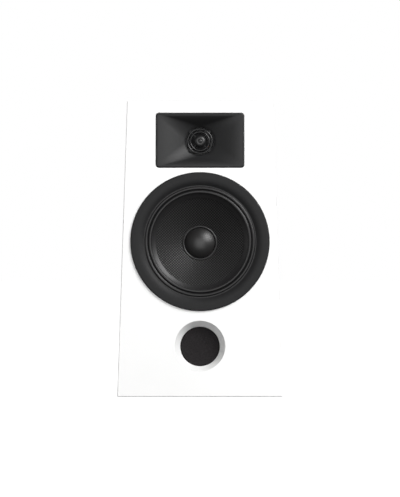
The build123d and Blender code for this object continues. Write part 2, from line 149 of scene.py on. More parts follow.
white_lacquer = mottled("white_lacquer", LACQUER_WHITE, 0.32, 0.09, 0.012, 0.00002, 0.0011, coat=0.25)
finish(white_lacquer, "front_baffle", "back_panel", "left_side_panel", "right_side_panel",
       "top_panel", "bottom_panel")


# ---- DRIVER FRAMES ------------
# The drivers and the port point straight out of the leaning front. Each has its own frame on
# the front's face: X to the right, Y up the face and Z outwards, in millimetres.
out = Vector(next(j["axis"] for j in frame["joints"] if j["name"] == "woofer_excursion")).normalized()
up_face = out.cross(Vector((1, 0, 0)))
face_reach = max(vertex.co.dot(out) for vertex in frame["nodes"]["front_baffle"].data.vertices)


def on_face(node):
    """The frame on the front's face that shares a round node's axis."""
    low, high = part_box(node)
    middle = (low + high) / 2
    origin = middle + out * (face_reach - middle.dot(out))
    axes = Matrix((Vector((1, 0, 0)), up_face, out)).transposed().to_4x4()
    return Matrix.Translation(origin) @ axes @ Matrix.Scale(MM, 4)


ON_WOOFER = on_face("woofer_front_plate")
ON_TWEETER = on_face("tweeter_front_plate")
ON_PORT = on_face("port_tube")


def three_point_arc(start, middle, end, steps):
    """Points along the circle through three points, the last one included and the first not."""
    (x1, y1), (x2, y2), (x3, y3) = start, middle, end
    double = 2 * (x1 * (y2 - y3) + x2 * (y3 - y1) + x3 * (y1 - y2))
    s1, s2, s3 = x1 * x1 + y1 * y1, x2 * x2 + y2 * y2, x3 * x3 + y3 * y3
    cx = (s1 * (y2 - y3) + s2 * (y3 - y1) + s3 * (y1 - y2)) / double
    cy = (s1 * (x3 - x2) + s2 * (x1 - x3) + s3 * (x2 - x1)) / double
    first = atan2(y1 - cy, x1 - cx)
    to_middle = (atan2(y2 - cy, x2 - cx) - first) % (2 * pi)
    sweep = (atan2(y3 - cy, x3 - cx) - first) % (2 * pi)
    if to_middle > sweep:
        sweep -= 2 * pi
    radius = hypot(x1 - cx, y1 - cy)
    angles = [first + sweep * (i + 1) / steps for i in range(steps)]
    return [(cx + radius * cos(angle), cy + radius * sin(angle)) for angle in angles]


def put(name, vertices, faces, place, material, body, sharp_deg=35, slot=None):
    """A finished mesh piece: placed, facing outwards, smooth, with its finish and its body."""
    mesh = bpy.data.meshes.new(name)
    mesh.from_pydata([place @ Vector(vertex) for vertex in vertices], [], faces)
    work = bmesh.new()
    work.from_mesh(mesh)
    bmesh.ops.remove_doubles(work, verts=work.verts, dist=1e-7)
    bmesh.ops.recalc_face_normals(work, faces=work.faces)
    work.to_mesh(mesh)
    work.free()
    mesh.polygons.foreach_set("use_smooth", [True] * len(mesh.polygons))
    mesh.set_sharp_from_angle(angle=radians(sharp_deg))
    mesh.materials.append(material)
    piece = bpy.data.objects.new(name, mesh)
    bpy.context.scene.collection.objects.link(piece)
    if body:
        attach(piece, body)
    return piece


def turned(name, outline, place, material, body, slot, steps=160, sharp_deg=35):
    """A piece turned about its driver's axis from a closed outline of (radius, height)."""
    vertices, faces = [], []
    count = len(outline)
    for i in range(steps):
        angle = 2 * pi * i / steps
        vertices += [(radius * cos(angle), radius * sin(angle), height) for radius, height in outline]
    for i in range(steps):
        here, there = i * count, (i + 1) % steps * count
        for j in range(count):
            k = (j + 1) % count
            if outline[j][0] < 1e-6 and outline[k][0] < 1e-6:
                continue
            ring = [here + j, there + j, there + k, here + k]
            if outline[j][0] < 1e-6:
                ring = [here + j, there + k, here + k]
            elif outline[k][0] < 1e-6:
                ring = [here + j, there + j, here + k]
            faces.append(ring)
    return put(name, vertices, faces, place, material, body, sharp_deg, slot)


def thickened(line, thickness):
    """A closed outline from an open one and its copy set back along the axis."""
    return line + [(radius, height - thickness) for radius, height in reversed(line)]


# ---- WOOFER TRIM RING ------------
# A dished moulded ring that snaps over the flange and hides the screws. Its face has the fine
# spark-eroded texture of the mould, and its outer edge is rounded.
TRIM_R = (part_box("woofer_trim_ring")[1].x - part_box("woofer_trim_ring")[0].x) / 2 / MM
TRIM_PROUD = 2.6
TRIM_BLACK = (0.0075, 0.0075, 0.008, 1)

trim_plastic = mottled("trim_plastic", TRIM_BLACK, 0.52, 0.004, 0.10, 0.00006, 0.0005, shine=0.25)
trim_outline = [(86.6, -2.1), (86.6, 0), (TRIM_R, 0), (TRIM_R, TRIM_PROUD - 1.2)]
trim_outline += three_point_arc(
    (TRIM_R, TRIM_PROUD - 1.2), (TRIM_R - 0.35, TRIM_PROUD - 0.35), (TRIM_R - 1.2, TRIM_PROUD), 6
)
trim_outline += [(83.5, TRIM_PROUD), (82.2, TRIM_PROUD - 0.03)]
trim_outline += three_point_arc((82.2, TRIM_PROUD - 0.03), (77, 1.7), (73.4, 0.2), 12)
trim_outline += three_point_arc((73.4, 0.2), (72.8, -0.1), (72.6, -0.6), 4)
trim_outline += [(72.6, -1.0), (80, -1.0), (80, -2.1)]
trim = turned("woofer_trim_ring_face", trim_outline, ON_WOOFER, trim_plastic, "root",
              "trim_plastic", 192)
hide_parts("woofer_trim_ring")


# ---- WOOFER SURROUND ------------
# A double half-roll of doped rubber: its foot is glued to the basket, its inner flange to the
# cone. It rolls between them as the cone moves.
SURROUND_R = 71.5
ROLL_WIDTH = 4.8
ROLL_HEIGHT = 2.2
FOOT_Z = -1.2
LIP_R = 57.0
LIP_Z = -4.0
SURROUND_SKIN = 0.8
RUBBER_BLACK = (0.010, 0.0096, 0.010, 1)


def flex(piece, still_r, moving_r, place):
    """Bakes the piece's place into its points and works out, by each point's radius, its share between the
    cabinet and a moving body; nothing uses that share, so the piece does not bend.
    """
    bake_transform(piece)
    inverse = place.inverted()
    for vertex in piece.data.vertices:
        local = inverse @ vertex.co
        share = (still_r - hypot(local.x, local.y)) / (still_r - moving_r)
        share = min(1.0, max(0.0, share))


def calculator(tree):
    """A maths node maker for one tree: each input is a number or another node's output."""

    def maths(operation, first, second=None):
        step = tree.nodes.new("ShaderNodeMath")
        step.operation = operation
        for socket, value in zip(step.inputs, (first, second)):
            if isinstance(value, (int, float)):
                socket.default_value = value
            elif value is not None:
                tree.links.new(value, socket)
        return step.outputs[0]

    return maths


def new_tree(name, **sizes):
    """A Geometry Nodes tree with inputs for its geometry, its material and each named size."""
    tree = bpy.data.node_groups.new(name, "GeometryNodeTree")
    tree.interface.new_socket("Geometry", in_out="OUTPUT", socket_type="NodeSocketGeometry")
    tree.interface.new_socket("Geometry", in_out="INPUT", socket_type="NodeSocketGeometry")
    tree.interface.new_socket("Material", in_out="INPUT", socket_type="NodeSocketMaterial")
    for size, value in sizes.items():
        kind = "NodeSocketInt" if isinstance(value, int) else "NodeSocketFloat"
        socket = tree.interface.new_socket(size.replace("_", " ").title(), in_out="INPUT",
                                           socket_type=kind)
        socket.default_value = value
    given = tree.nodes.new("NodeGroupInput").outputs
    return tree, given, calculator(tree)


def node(tree, kind, **values):
    """A node with its sockets set to numbers or linked to other nodes' outputs, by their names."""
    new = tree.nodes.new(kind)
    for name, value in values.items():
        socket = new.inputs[name.replace("_", " ")]
        if isinstance(value, bpy.types.NodeSocket):
            tree.links.new(value, socket)
        else:
            socket.default_value = value
    return new


def end_tree(tree, geometry, given):
    """Realizes what the tree has made and gives it its material."""
    solid = node(tree, "GeometryNodeRealizeInstances", Geometry=geometry)
    painted = node(tree, "GeometryNodeSetMaterial", Geometry=solid.outputs[0],
                   Material=given["Material"])
    output = tree.nodes.new("NodeGroupOutput")
    tree.links.new(painted.outputs[0], output.inputs["Geometry"])


def taken(thing):
    """The vertices and faces that an object's modifiers or curve make, once it is removed."""
    made = bpy.data.meshes.new_from_object(thing.evaluated_get(bpy.context.evaluated_depsgraph_get()))
    shape = [vertex.co.copy() for vertex in made.vertices], [tuple(face.vertices) for face in made.polygons]
    bpy.data.objects.remove(thing)
    bpy.data.meshes.remove(made)
    return shape


def grown(tree, material, points=((0, 0, 0),), **sizes):
    """The vertices and faces that a tree makes at some points, with some of its sizes changed."""
    mesh = bpy.data.meshes.new("seed")
    mesh.from_pydata(points, [], [])
    seed = bpy.data.objects.new("seed", mesh)
    bpy.context.scene.collection.objects.link(seed)
    modifier = seed.modifiers.new("tree", "NODES")
    modifier.node_group = tree
    identifiers = {item.name: item.identifier for item in tree.interface.items_tree if item.in_out == "INPUT"}
    modifier[identifiers["Material"]] = material
    for size, value in sizes.items():
        modifier[identifiers[size.replace("_", " ").title()]] = value
    return taken(seed)


def joined(*shapes):
    """Several lots of vertices and faces as one."""
    vertices, faces = [], []
    for some_vertices, some_faces in shapes:
        first = len(vertices)
        vertices += some_vertices
        faces += [tuple(first + i for i in face) for face in some_faces]
    return vertices, faces


rolls_tree, given, maths = new_tree(
    "rolls", around=192, across=64, outer_radius=SURROUND_R, pitch=ROLL_WIDTH, rolls=2,
    height=ROLL_HEIGHT, level=FOOT_Z, alternate=0,
)
strip = node(rolls_tree, "GeometryNodeMeshGrid", Size_X=1.0, Size_Y=1.0, Vertices_X=given["Around"],
             Vertices_Y=given["Across"])
strip_place = node(rolls_tree, "ShaderNodeSeparateXYZ",
                   Vector=rolls_tree.nodes.new("GeometryNodeInputPosition").outputs[0])
turn = maths("MULTIPLY", maths("ADD", strip_place.outputs["X"], 0.5), 2 * pi)
count = maths("MULTIPLY", maths("ADD", strip_place.outputs["Y"], 0.5), given["Rolls"])
which = maths("FLOOR", maths("ADD", count, 0.0001))
within = maths("MULTIPLY", maths("SUBTRACT", count, which), pi)
inward = maths("MULTIPLY", maths("SUBTRACT", 1.0, maths("COSINE", within)), 0.5)
roll_radius = maths("SUBTRACT", given["Outer Radius"],
                    maths("MULTIPLY", given["Pitch"], maths("ADD", which, inward)))
side = maths("SUBTRACT", 1.0,
             maths("MULTIPLY", maths("MULTIPLY", given["Alternate"], 2.0), maths("MODULO", which, 2.0)))
crest = maths("MULTIPLY", maths("MULTIPLY", maths("SINE", within), given["Height"]), side)
roll_place = node(rolls_tree, "ShaderNodeCombineXYZ",
                  X=maths("MULTIPLY", roll_radius, maths("COSINE", turn)),
                  Y=maths("MULTIPLY", roll_radius, maths("SINE", turn)),
                  Z=maths("ADD", given["Level"], crest))
rolled = node(rolls_tree, "GeometryNodeSetPosition", Geometry=strip.outputs["Mesh"],
              Position=roll_place.outputs[0])
sealed = node(rolls_tree, "GeometryNodeMergeByDistance", Geometry=rolled.outputs[0], Distance=0.001)
end_tree(rolls_tree, sealed.outputs[0], given)


def flat_ring(line, steps):
    """A one-sided skin turned from an open line of (radius, height), to join onto rolls."""
    vertices = [
        (radius * cos(2 * pi * i / steps), radius * sin(2 * pi * i / steps), height)
        for i in range(steps) for radius, height in line
    ]
    count = len(line)
    faces = [
        (i * count + j, (i + 1) % steps * count + j, (i + 1) % steps * count + j + 1, i * count + j + 1)
        for i in range(steps) for j in range(count - 1)
    ]
    return vertices, faces


def moulded_skin(name, shapes, thickness, place, material, sharp_deg, slot_name):
    """A thin flexible part: its one-sided shapes joined at their edges and given a thickness."""
    mesh = bpy.data.meshes.new(name)
    open_vertices, open_faces = joined(*shapes)
    mesh.from_pydata(open_vertices, [], open_faces)
    work = bmesh.new()
    work.from_mesh(mesh)
    bmesh.ops.remove_doubles(work, verts=work.verts, dist=0.01)
    bmesh.ops.recalc_face_normals(work, faces=work.faces)
    if sum(face.normal.z for face in work.faces) < 0:
        bmesh.ops.reverse_faces(work, faces=work.faces)
    bmesh.ops.solidify(work, geom=work.faces[:], thickness=thickness)
    work.to_mesh(mesh)
    work.free()
    vertices, faces = [v.co.copy() for v in mesh.vertices], [tuple(f.vertices) for f in mesh.polygons]
    bpy.data.meshes.remove(mesh)
    return put(name, vertices, faces, place, material, None, sharp_deg, slot_name)


surround_rubber = mottled("surround_rubber", RUBBER_BLACK, 0.38, 0.003, 0.05, 0.00002, 0.0006,
                          shine=0.36)
inner_r = SURROUND_R - 2 * ROLL_WIDTH
foot_line = [(79, FOOT_Z), (75, FOOT_Z), (SURROUND_R, FOOT_Z)]
lip_line = [(inner_r, FOOT_Z)] + three_point_arc((inner_r, FOOT_Z), (59.6, -2.6), (LIP_R, LIP_Z), 8)
surround = moulded_skin(
    "woofer_surround_rolls",
    (flat_ring(foot_line, 192), grown(rolls_tree, surround_rubber, around=193, across=65),
     flat_ring(lip_line, 192)),
    SURROUND_SKIN, ON_WOOFER, surround_rubber, 50, "surround_rubber",
)
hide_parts("woofer_surround")
flex(surround, SURROUND_R, inner_r, ON_WOOFER)


# ---- WOOFER CONE ------------
# Black woven glass cloth, pressed into a shallow flared cone and stiffened with resin. The
# cloth is woven flat, so its yarns run straight across the cone as seen from the front.
CONE_R = 60.5
NECK_R = 16.6
RIM_Z = -2.6
NECK_Z = -27.6
CONE_SAG = 1.4
CONE_THICKNESS = 0.8
YARN_PITCH = 1.75
# The cloth is one black. The paler tone is painted sheen on the warp's crowns. The darker tone is painted
# shade in the weft and in the gaps between the yarns.
WARP_BLACK = (0.016, 0.0155, 0.016, 1)
SHADED_WEFT_BLACK = (0.0015, 0.0015, 0.0015, 1)


def woven(name, warp, shaded_weft, height):
    """A plain weave on the piece's own map, where one unit is one yarn. Its colour holds painted sheen and
    shade: the warp is paler at its crowns, and the weft and the gaps where yarns dive under are darker.
    """
    material, nodes, links, shader, place = new_material(name, warp, 0.45)
    shader.inputs["Specular IOR Level"].default_value = 0.55
    maths = calculator(material.node_tree)
    yarns = nodes.new("ShaderNodeUVMap")
    yarns.uv_map = "yarns"
    split = nodes.new("ShaderNodeSeparateXYZ")
    links.new(yarns.outputs["UV"], split.inputs["Vector"])

    across = maths("SINE", maths("MULTIPLY", split.outputs["X"], pi))
    along = maths("SINE", maths("MULTIPLY", split.outputs["Y"], pi))
    crossing = maths("MULTIPLY", across, along)
    crown = maths("POWER", maths("ABSOLUTE", crossing), 0.6)
    over = maths("GREATER_THAN", crossing, 0.0)
    # Painted sheen and shade: the warp grows paler towards its crowns and darkest where it dives under, and
    # the weft is painted darker all over.
    tone = nodes.new("ShaderNodeMix")
    tone.data_type = "RGBA"
    tone.inputs["A"].default_value = shaded_weft
    tone.inputs["B"].default_value = warp
    links.new(maths("MULTIPLY", over, crown), tone.inputs["Factor"])
    matt = maths("SUBTRACT", 0.95, maths("MULTIPLY", maths("MULTIPLY", over, crown), 0.70))
    links.new(matt, shader.inputs["Roughness"])
    links.new(tone.outputs["Result"], shader.inputs["Base Color"])
    bump = nodes.new("ShaderNodeBump")
    bump.inputs["Strength"].default_value = 1.0
    bump.inputs["Distance"].default_value = height
    links.new(crown, bump.inputs["Height"])
    links.new(bump.outputs["Normal"], shader.inputs["Normal"])
    return material


def map_yarns(piece, place, pitch):
    """Lays the cloth's own map on a piece: straight yarns as seen along the driver's axis."""
    inverse = place.inverted()
    layer = piece.data.uv_layers.new(name="yarns")
    corners = []
    for loop in piece.data.loops:
        local = inverse @ piece.data.vertices[loop.vertex_index].co
        corners += [local.x / pitch, local.y / pitch]
    layer.data.foreach_set("uv", corners)


def cone_height(radius):
    """The height of the cone's front face at a radius."""
    points = three_point_arc(
        (NECK_R, NECK_Z), ((CONE_R + NECK_R) / 2, (RIM_Z + NECK_Z) / 2 - CONE_SAG), (CONE_R, RIM_Z), 60
    )
    return min(points, key=lambda point: abs(point[0] - radius))[1]


woven_cone = woven("woven_cone", WARP_BLACK, SHADED_WEFT_BLACK, 0.00022)
cone_line = [(NECK_R, NECK_Z)] + three_point_arc(
    (NECK_R, NECK_Z), ((CONE_R + NECK_R) / 2, (RIM_Z + NECK_Z) / 2 - CONE_SAG), (CONE_R, RIM_Z), 40
)
cone = turned("woofer_woven_cone", thickened(cone_line, CONE_THICKNESS), ON_WOOFER, woven_cone,
              "woofer_cone_assembly", "woven_cone", 192)
map_yarns(cone, ON_WOOFER, YARN_PITCH)
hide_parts("woofer_cone")


# ---- WOOFER DUST CAP AND COLLAR ------------
# A smooth moulded dome closes the middle of the cone. It stands on a short skirt in a bead of
# black rubber cement, which shows as a thin collar round its foot.
CAP_R = 19.0
CAP_FOOT = NECK_Z + 3.6
CAP_HEIGHT = 7.0
CAP_BLACK = (0.010, 0.0095, 0.0095, 1)

cap_plastic = mottled("cap_plastic", CAP_BLACK, 0.42, 0.006, 0.04, 0.00001, 0.0008, shine=0.55)
cap_line = [(0, CAP_FOOT + CAP_HEIGHT)]
cap_line += three_point_arc(
    (0, CAP_FOOT + CAP_HEIGHT), (CAP_R * 0.52, CAP_FOOT + CAP_HEIGHT * 0.745), (CAP_R, CAP_FOOT), 28
)
cap_line += [(CAP_R, CAP_FOOT - 2.6)]
cap_inside = [(radius * 0.955, height - 0.8) for radius, height in reversed(cap_line)]
cap = turned("woofer_dust_cap_dome", cap_line + cap_inside, ON_WOOFER, cap_plastic,
             "woofer_cone_assembly", "cap_plastic", 128, 40)
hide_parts("woofer_dust_cap")

BEAD_R = 21.2
bead_z = cone_height(BEAD_R) + 0.5
bead_rubber = mottled("bead_rubber", RUBBER_BLACK, 0.3, 0.003, 0.05, 0.00003, 0.0015)
bead_line = [
    (BEAD_R + 1.25 * cos(2 * pi * i / 20), bead_z + 1.25 * sin(2 * pi * i / 20)) for i in range(20)
]
bead = turned("woofer_cap_bead", bead_line, ON_WOOFER, bead_rubber, "woofer_cone_assembly",
              "surround_rubber", 128, 60)
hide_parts("woofer_cap_collar")


# ---- PORT ------------
# A black extruded tube is glued behind the flared mouth. A plug of open-cell charcoal foam
# fills it, cut flat and a little rounded at its edges, and pulls straight out.
PORT_BLACK = (0.03, 0.03, 0.03, 1)
FOAM_CHARCOAL = (0.022, 0.020, 0.021, 1)
FOAM_R = 25.15
FOAM_FRONT = -13.5
FOAM_LENGTH = 60.0

port_plastic = mottled("port_plastic", PORT_BLACK, 0.5, 0.01, 0.08, 0.00003, 0.0009)
finish(port_plastic, "port_tube")

charcoal_foam, nodes, links, shader, place = new_material("charcoal_foam", FOAM_CHARCOAL, 0.95)
shader.inputs["Specular IOR Level"].default_value = 0.15
mottle(nodes, links, shader, place, 900, shade(FOAM_CHARCOAL, 1.25), shade(FOAM_CHARCOAL, 0.75))
grain(nodes, links, shader, place, 1100, 0.0006, 2, voronoi=True)

foam_line = [(FOAM_R * i / 24, FOAM_FRONT) for i in range(24)]
foam_line += three_point_arc((FOAM_R - 1.2, FOAM_FRONT), (FOAM_R - 0.35, FOAM_FRONT - 0.35),
                             (FOAM_R, FOAM_FRONT - 1.2), 5)
foam_back = FOAM_FRONT - FOAM_LENGTH
foam_line += [(FOAM_R, FOAM_FRONT - 1.2 - (FOAM_LENGTH - 2.4) * i / 24) for i in range(1, 25)]
foam_line += three_point_arc((FOAM_R, foam_back + 1.2), (FOAM_R - 0.35, foam_back + 0.35),
                             (FOAM_R - 1.2, foam_back), 5)
foam_line += [(0, foam_back)]
foam = turned("port_foam_bung", foam_line, ON_PORT, charcoal_foam, "port_plug", "charcoal_foam", 96, 60)
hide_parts("port_foam_plug")


# ---- TWEETER HORN PLATE ------------
# One moulding: a rounded rectangular plate with a bevelled edge, whose face sinks in a smooth
# flare to a round throat. It is held from behind, so no screw shows.
HORN_W = (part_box("tweeter_horn_plate")[1].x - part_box("tweeter_horn_plate")[0].x) / 2 / MM
HORN_H = 35.5
HORN_CORNER = 4.0
HORN_PROUD = 0.8
HORN_BACK = -3.2
HORN_FLANGE_Z = -18.0
THROAT_R = 18.5
THROAT_Z = -14.0
HORN_BLACK = (0.0135, 0.0135, 0.014, 1)

horn_plastic = mottled("horn_plastic", HORN_BLACK, 0.52, 0.003, 0.05, 0.00002, 0.0004, shine=0.36)


def loop_reach(angle, half_w, half_h, corner):
    """How far a ray from the middle runs to a rounded rectangle's edge."""
    dx, dy = abs(cos(angle)), abs(sin(angle))
    if dx > 1e-9 and dy / dx * half_w <= half_h - corner:
        return half_w / dx
    if dy > 1e-9 and dx / dy * half_h <= half_w - corner:
        return half_h / dy
    cx, cy = half_w - corner, half_h - corner
    along = dx * cx + dy * cy
    return along + max(0.0, along * along - cx * cx - cy * cy + corner * corner) ** 0.5


def lofted(name, loops, place, material, body, slot, steps=400, sharp_deg=30):
    """A closed piece through rounded rectangles given as (half width, half height, corner, height)."""
    vertices, faces = [], []
    for half_w, half_h, corner, height in loops:
        for i in range(steps):
            angle = 2 * pi * (i + 0.5) / steps
            reach = loop_reach(angle, half_w, half_h, corner)
            vertices.append((reach * cos(angle), reach * sin(angle), height))
    for j in range(len(loops)):
        here, there = j * steps, (j + 1) % len(loops) * steps
        for i in range(steps):
            k = (i + 1) % steps
            faces.append((here + i, here + k, there + k, there + i))
    return put(name, vertices, faces, place, material, body, sharp_deg, slot)


FLARE_STEPS = 26
MOUTH_W, MOUTH_H, MOUTH_CORNER = HORN_W - 2.4, HORN_H - 2.4, 2.6
horn_loops = [(THROAT_R, THROAT_R, THROAT_R, HORN_FLANGE_Z), (THROAT_R, THROAT_R, THROAT_R, THROAT_Z)]
for i in range(1, FLARE_STEPS + 1):
    t = i / FLARE_STEPS
    half_w = THROAT_R + (MOUTH_W - THROAT_R) * t
    half_h = THROAT_R + (MOUTH_H - THROAT_R) * t**0.8
    corner = THROAT_R + (MOUTH_CORNER - THROAT_R) * t**1.2
    horn_loops.append((half_w, half_h, min(corner, half_h),
                       HORN_PROUD - 0.35 + THROAT_Z * (1 - t) ** 1.7))
horn_loops += [
    (HORN_W - 2.1, HORN_H - 2.1, 2.9, HORN_PROUD),
    (HORN_W - 1.5, HORN_H - 1.5, 3.3, HORN_PROUD),
    (HORN_W - 0.5, HORN_H - 0.5, HORN_CORNER, HORN_PROUD - 0.45),
    (HORN_W, HORN_H, HORN_CORNER, HORN_PROUD - 1.1),
    (HORN_W, HORN_H, HORN_CORNER, HORN_BACK),
    (51, 30, 8, HORN_BACK),
    (42, 29, 17, -6),
    (30, 26.5, 22, -11),
    (23.5, 23.5, 23, HORN_FLANGE_Z + 2.5),
    (29, 29, 29, HORN_FLANGE_Z + 2.5),
    (29, 29, 29, HORN_FLANGE_Z),
]
horn = lofted("tweeter_horn_face", horn_loops, ON_TWEETER, horn_plastic, "root", "horn_plastic")
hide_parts("tweeter_horn_plate")


# ---- TWEETER PHASE PIECES ------------
# In the throat stand a thin outer ring on four tabs, a glossy half-round inner ring and a small
# bulb, carried on four slim spokes. They sit in front of the dome and guide its sound.
PHASE_LOW = THROAT_Z + 0.6
GLOSS_BLACK = (0.007, 0.007, 0.0075, 1)

phase_gloss = mottled("phase_gloss", GLOSS_BLACK, 0.17, 0.004, 0.05, 0.00001, 0.002, shine=0.5)
spoke_matt = mottled("spoke_matt", GLOSS_BLACK, 0.5, 0.004, 0.05, 0.00002, 0.001, shine=0.25)
bulb_satin = mottled("bulb_satin", GLOSS_BLACK, 0.42, 0.004, 0.05, 0.00001, 0.002, shine=0.55)
outer_line = [(14.9, PHASE_LOW), (14.9, PHASE_LOW + 2.0)]
outer_line += three_point_arc((14.9, PHASE_LOW + 2.0), (15.7, PHASE_LOW + 2.6),
                              (16.5, PHASE_LOW + 2.0), 8)
outer_line += [(16.5, PHASE_LOW)]
outer_ring = turned("tweeter_outer_ring", outer_line, ON_TWEETER, phase_gloss, "root",
                    "horn_plastic", 96)

inner_line = [(11.3, PHASE_LOW), (11.3, PHASE_LOW + 1.2)]
inner_line += three_point_arc((11.3, PHASE_LOW + 1.2), (12.0, PHASE_LOW + 2.2),
                              (12.8, PHASE_LOW + 1.2), 8)
inner_line += [(12.8, PHASE_LOW)]
inner_ring = turned("tweeter_inner_ring", inner_line, ON_TWEETER, phase_gloss, "root",
                    "phase_plastic", 96)
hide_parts("tweeter_phase_plug")

bulb_top = PHASE_LOW + 6.2
bulb_line = [(0, bulb_top - 0.5), (0.8, bulb_top - 0.6), (1.5, bulb_top - 1.3), (2.3, bulb_top - 1.5),
             (3.1, bulb_top - 0.9)]
bulb_line += three_point_arc((3.1, bulb_top - 0.9), (5.9, bulb_top - 1.6), (7.6, bulb_top - 3.4), 12)
bulb_line += [(7.6, PHASE_LOW), (0, PHASE_LOW)]
bulb = turned("tweeter_phase_bulb", bulb_line, ON_TWEETER, bulb_satin, "root", "phase_plastic", 64)
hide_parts("tweeter_phase_plug")

# The spokes and the tabs are one tree: bars set on the four diagonals.
bars_tree, given, maths = new_tree("bars", start=6.6, end=15.0, width=1.0, base=PHASE_LOW,
                                   top=PHASE_LOW + 1.8)
long_way = maths("SUBTRACT", given["End"], given["Start"])
high_way = maths("SUBTRACT", given["Top"], given["Base"])
bar_size = node(bars_tree, "ShaderNodeCombineXYZ", X=long_way, Y=given["Width"], Z=high_way)
bar = node(bars_tree, "GeometryNodeMeshCube", Size=bar_size.outputs[0])
bar_place = node(
    bars_tree, "ShaderNodeCombineXYZ",
    X=maths("MULTIPLY", maths("ADD", given["End"], given["Start"]), 0.5),
    Z=maths("MULTIPLY", maths("ADD", given["Top"], given["Base"]), 0.5),
)
bar_moved = node(bars_tree, "GeometryNodeTransform", Geometry=bar.outputs["Mesh"],
                 Translation=bar_place.outputs[0])
diagonals = node(bars_tree, "GeometryNodeMeshLine", Count=4, Offset=(0, 0, 0))
quarter = maths("MULTIPLY",
                maths("ADD", bars_tree.nodes.new("GeometryNodeInputIndex").outputs[0], 0.5), pi / 2)
turned_by = node(bars_tree, "ShaderNodeCombineXYZ", Z=quarter)
bars_set = node(bars_tree, "GeometryNodeInstanceOnPoints", Points=diagonals.outputs["Mesh"],
                Instance=bar_moved.outputs[0], Rotation=turned_by.outputs[0])
end_tree(bars_tree, bars_set.outputs[0], given)

spokes = put("tweeter_spokes", *grown(bars_tree, spoke_matt), ON_TWEETER, spoke_matt, "root", 30,
             "phase_plastic")
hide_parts("tweeter_phase_plug")
tab_shape = grown(bars_tree, spoke_matt, start=16.3, end=THROAT_R, width=3.6, top=PHASE_LOW + 2.0)
tabs = put("tweeter_ring_tabs", *tab_shape, ON_TWEETER, spoke_matt, "root", 30, "horn_plastic")
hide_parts("tweeter_throat_ring")
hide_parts("tweeter_throat_ring")


# ---- TWEETER DOME ------------
# A thin dome pressed from fine coated cloth, with a half-roll of the same cloth round it. The
# roll's flange is glued to the front plate and the dome's edge to the coil.
DOME_R = 12.5
DOME_Z = -18.6
DOME_HEIGHT = 4.2
DOME_BLACK = (0.012, 0.012, 0.013, 1)

# The darker weft tone is painted shade in the weave, as on the cone.
dome_cloth = woven("dome_cloth", DOME_BLACK, shade(DOME_BLACK, 0.6), 0.00003)
dome_line = [(0, DOME_Z + DOME_HEIGHT)] + three_point_arc(
    (0, DOME_Z + DOME_HEIGHT), (DOME_R * 0.52, DOME_Z + DOME_HEIGHT * 0.745), (DOME_R, DOME_Z), 20
)
dome_inside = [(radius * 0.965, height - 0.4) for radius, height in reversed(dome_line)]
dome = turned("tweeter_cloth_dome", dome_line + dome_inside, ON_TWEETER, dome_cloth,
              "tweeter_dome_assembly",
              "dome_cloth", 96, 40)
map_yarns(dome, ON_TWEETER, 0.35)
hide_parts("tweeter_dome")

dome_roll = moulded_skin(
    "tweeter_cloth_roll",
    (grown(rolls_tree, dome_cloth, around=97, across=17, outer_radius=15.6, pitch=3.0, rolls=1,
           height=1.2,
           level=DOME_Z),
     flat_ring([(18.1, DOME_Z), (15.6, DOME_Z)], 96)),
    0.3, ON_TWEETER, dome_cloth, 50, "surround_rubber",
)
map_yarns(dome_roll, ON_TWEETER, 0.35)
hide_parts("tweeter_dome_surround")
flex(dome_roll, 15.6, 12.6, ON_TWEETER)


# ---- SPIDER ------------
# Phenolic-dipped cotton cloth, hot-pressed into five corrugations. It centres the coil and is
# glued to the former inside and to the basket's ledge outside.
SPIDER_Z = -50.0
SPIDER_OUT = 44.0
SPIDER_IN = 16.6
WAVES = 5
SPIDER_YELLOW = (0.55, 0.36, 0.11, 1)

# The darker weft tone is painted shade in the weave, as on the cone.
spider_cloth = woven("spider_cloth", SPIDER_YELLOW, shade(SPIDER_YELLOW, 0.6), 0.00006)
wave_pitch = (SPIDER_OUT - SPIDER_IN) / (2 * WAVES)
spider = moulded_skin(
    "woofer_spider_waves",
    (grown(rolls_tree, spider_cloth, around=129, across=20 * WAVES + 1, outer_radius=SPIDER_OUT,
           pitch=wave_pitch, rolls=2 * WAVES, height=1.2, level=SPIDER_Z, alternate=1),
     flat_ring([(SPIDER_OUT + 2.8, SPIDER_Z), (SPIDER_OUT, SPIDER_Z)], 128)),
    0.5, ON_WOOFER, spider_cloth, 60, "spider_cloth",
)
map_yarns(spider, ON_WOOFER, 0.6)
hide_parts("woofer_spider")
flex(spider, SPIDER_OUT, SPIDER_IN + 1, ON_WOOFER)


# ---- COILS ------------
# Enamelled copper wire, wound turn by turn: the two voice coils on their formers, and two
# air-cored chokes of thicker wire on the crossover board.
COPPER = (0.72, 0.28, 0.13, 1)

copper_wire = mottled("copper_wire", COPPER, 0.3, 0.002, 0.10, 0.000005, 0.0004, metallic=0.9, coat=0.4)
winding_tree, given, maths = new_tree("winding", inner_radius=8.0, outer_radius=20.0, length=18.0,
                                      wire=1.0, sides=96)
half_wire = maths("MULTIPLY", given["Wire"], 0.5)
layers = maths("SUBTRACT", maths("SUBTRACT", given["Outer Radius"], given["Inner Radius"]),
               given["Wire"])
stack = maths("SUBTRACT", given["Length"], given["Wire"])
section = node(winding_tree, "GeometryNodeCurvePrimitiveQuadrilateral",
               Width=maths("MAXIMUM", layers, 0.01), Height=stack)
turns = node(winding_tree, "GeometryNodeResampleCurve", Curve=section.outputs[0])
turns.mode = "LENGTH"
winding_tree.links.new(given["Wire"], turns.inputs["Length"])
turn_place = node(winding_tree, "ShaderNodeSeparateXYZ",
                  Vector=winding_tree.nodes.new("GeometryNodeInputPosition").outputs[0])
turn_points = node(winding_tree, "GeometryNodeCurveToPoints", Curve=turns.outputs[0])
turn_points.mode = "EVALUATED"
middle_radius = maths("MULTIPLY", maths("ADD", given["Outer Radius"], given["Inner Radius"]), 0.5)
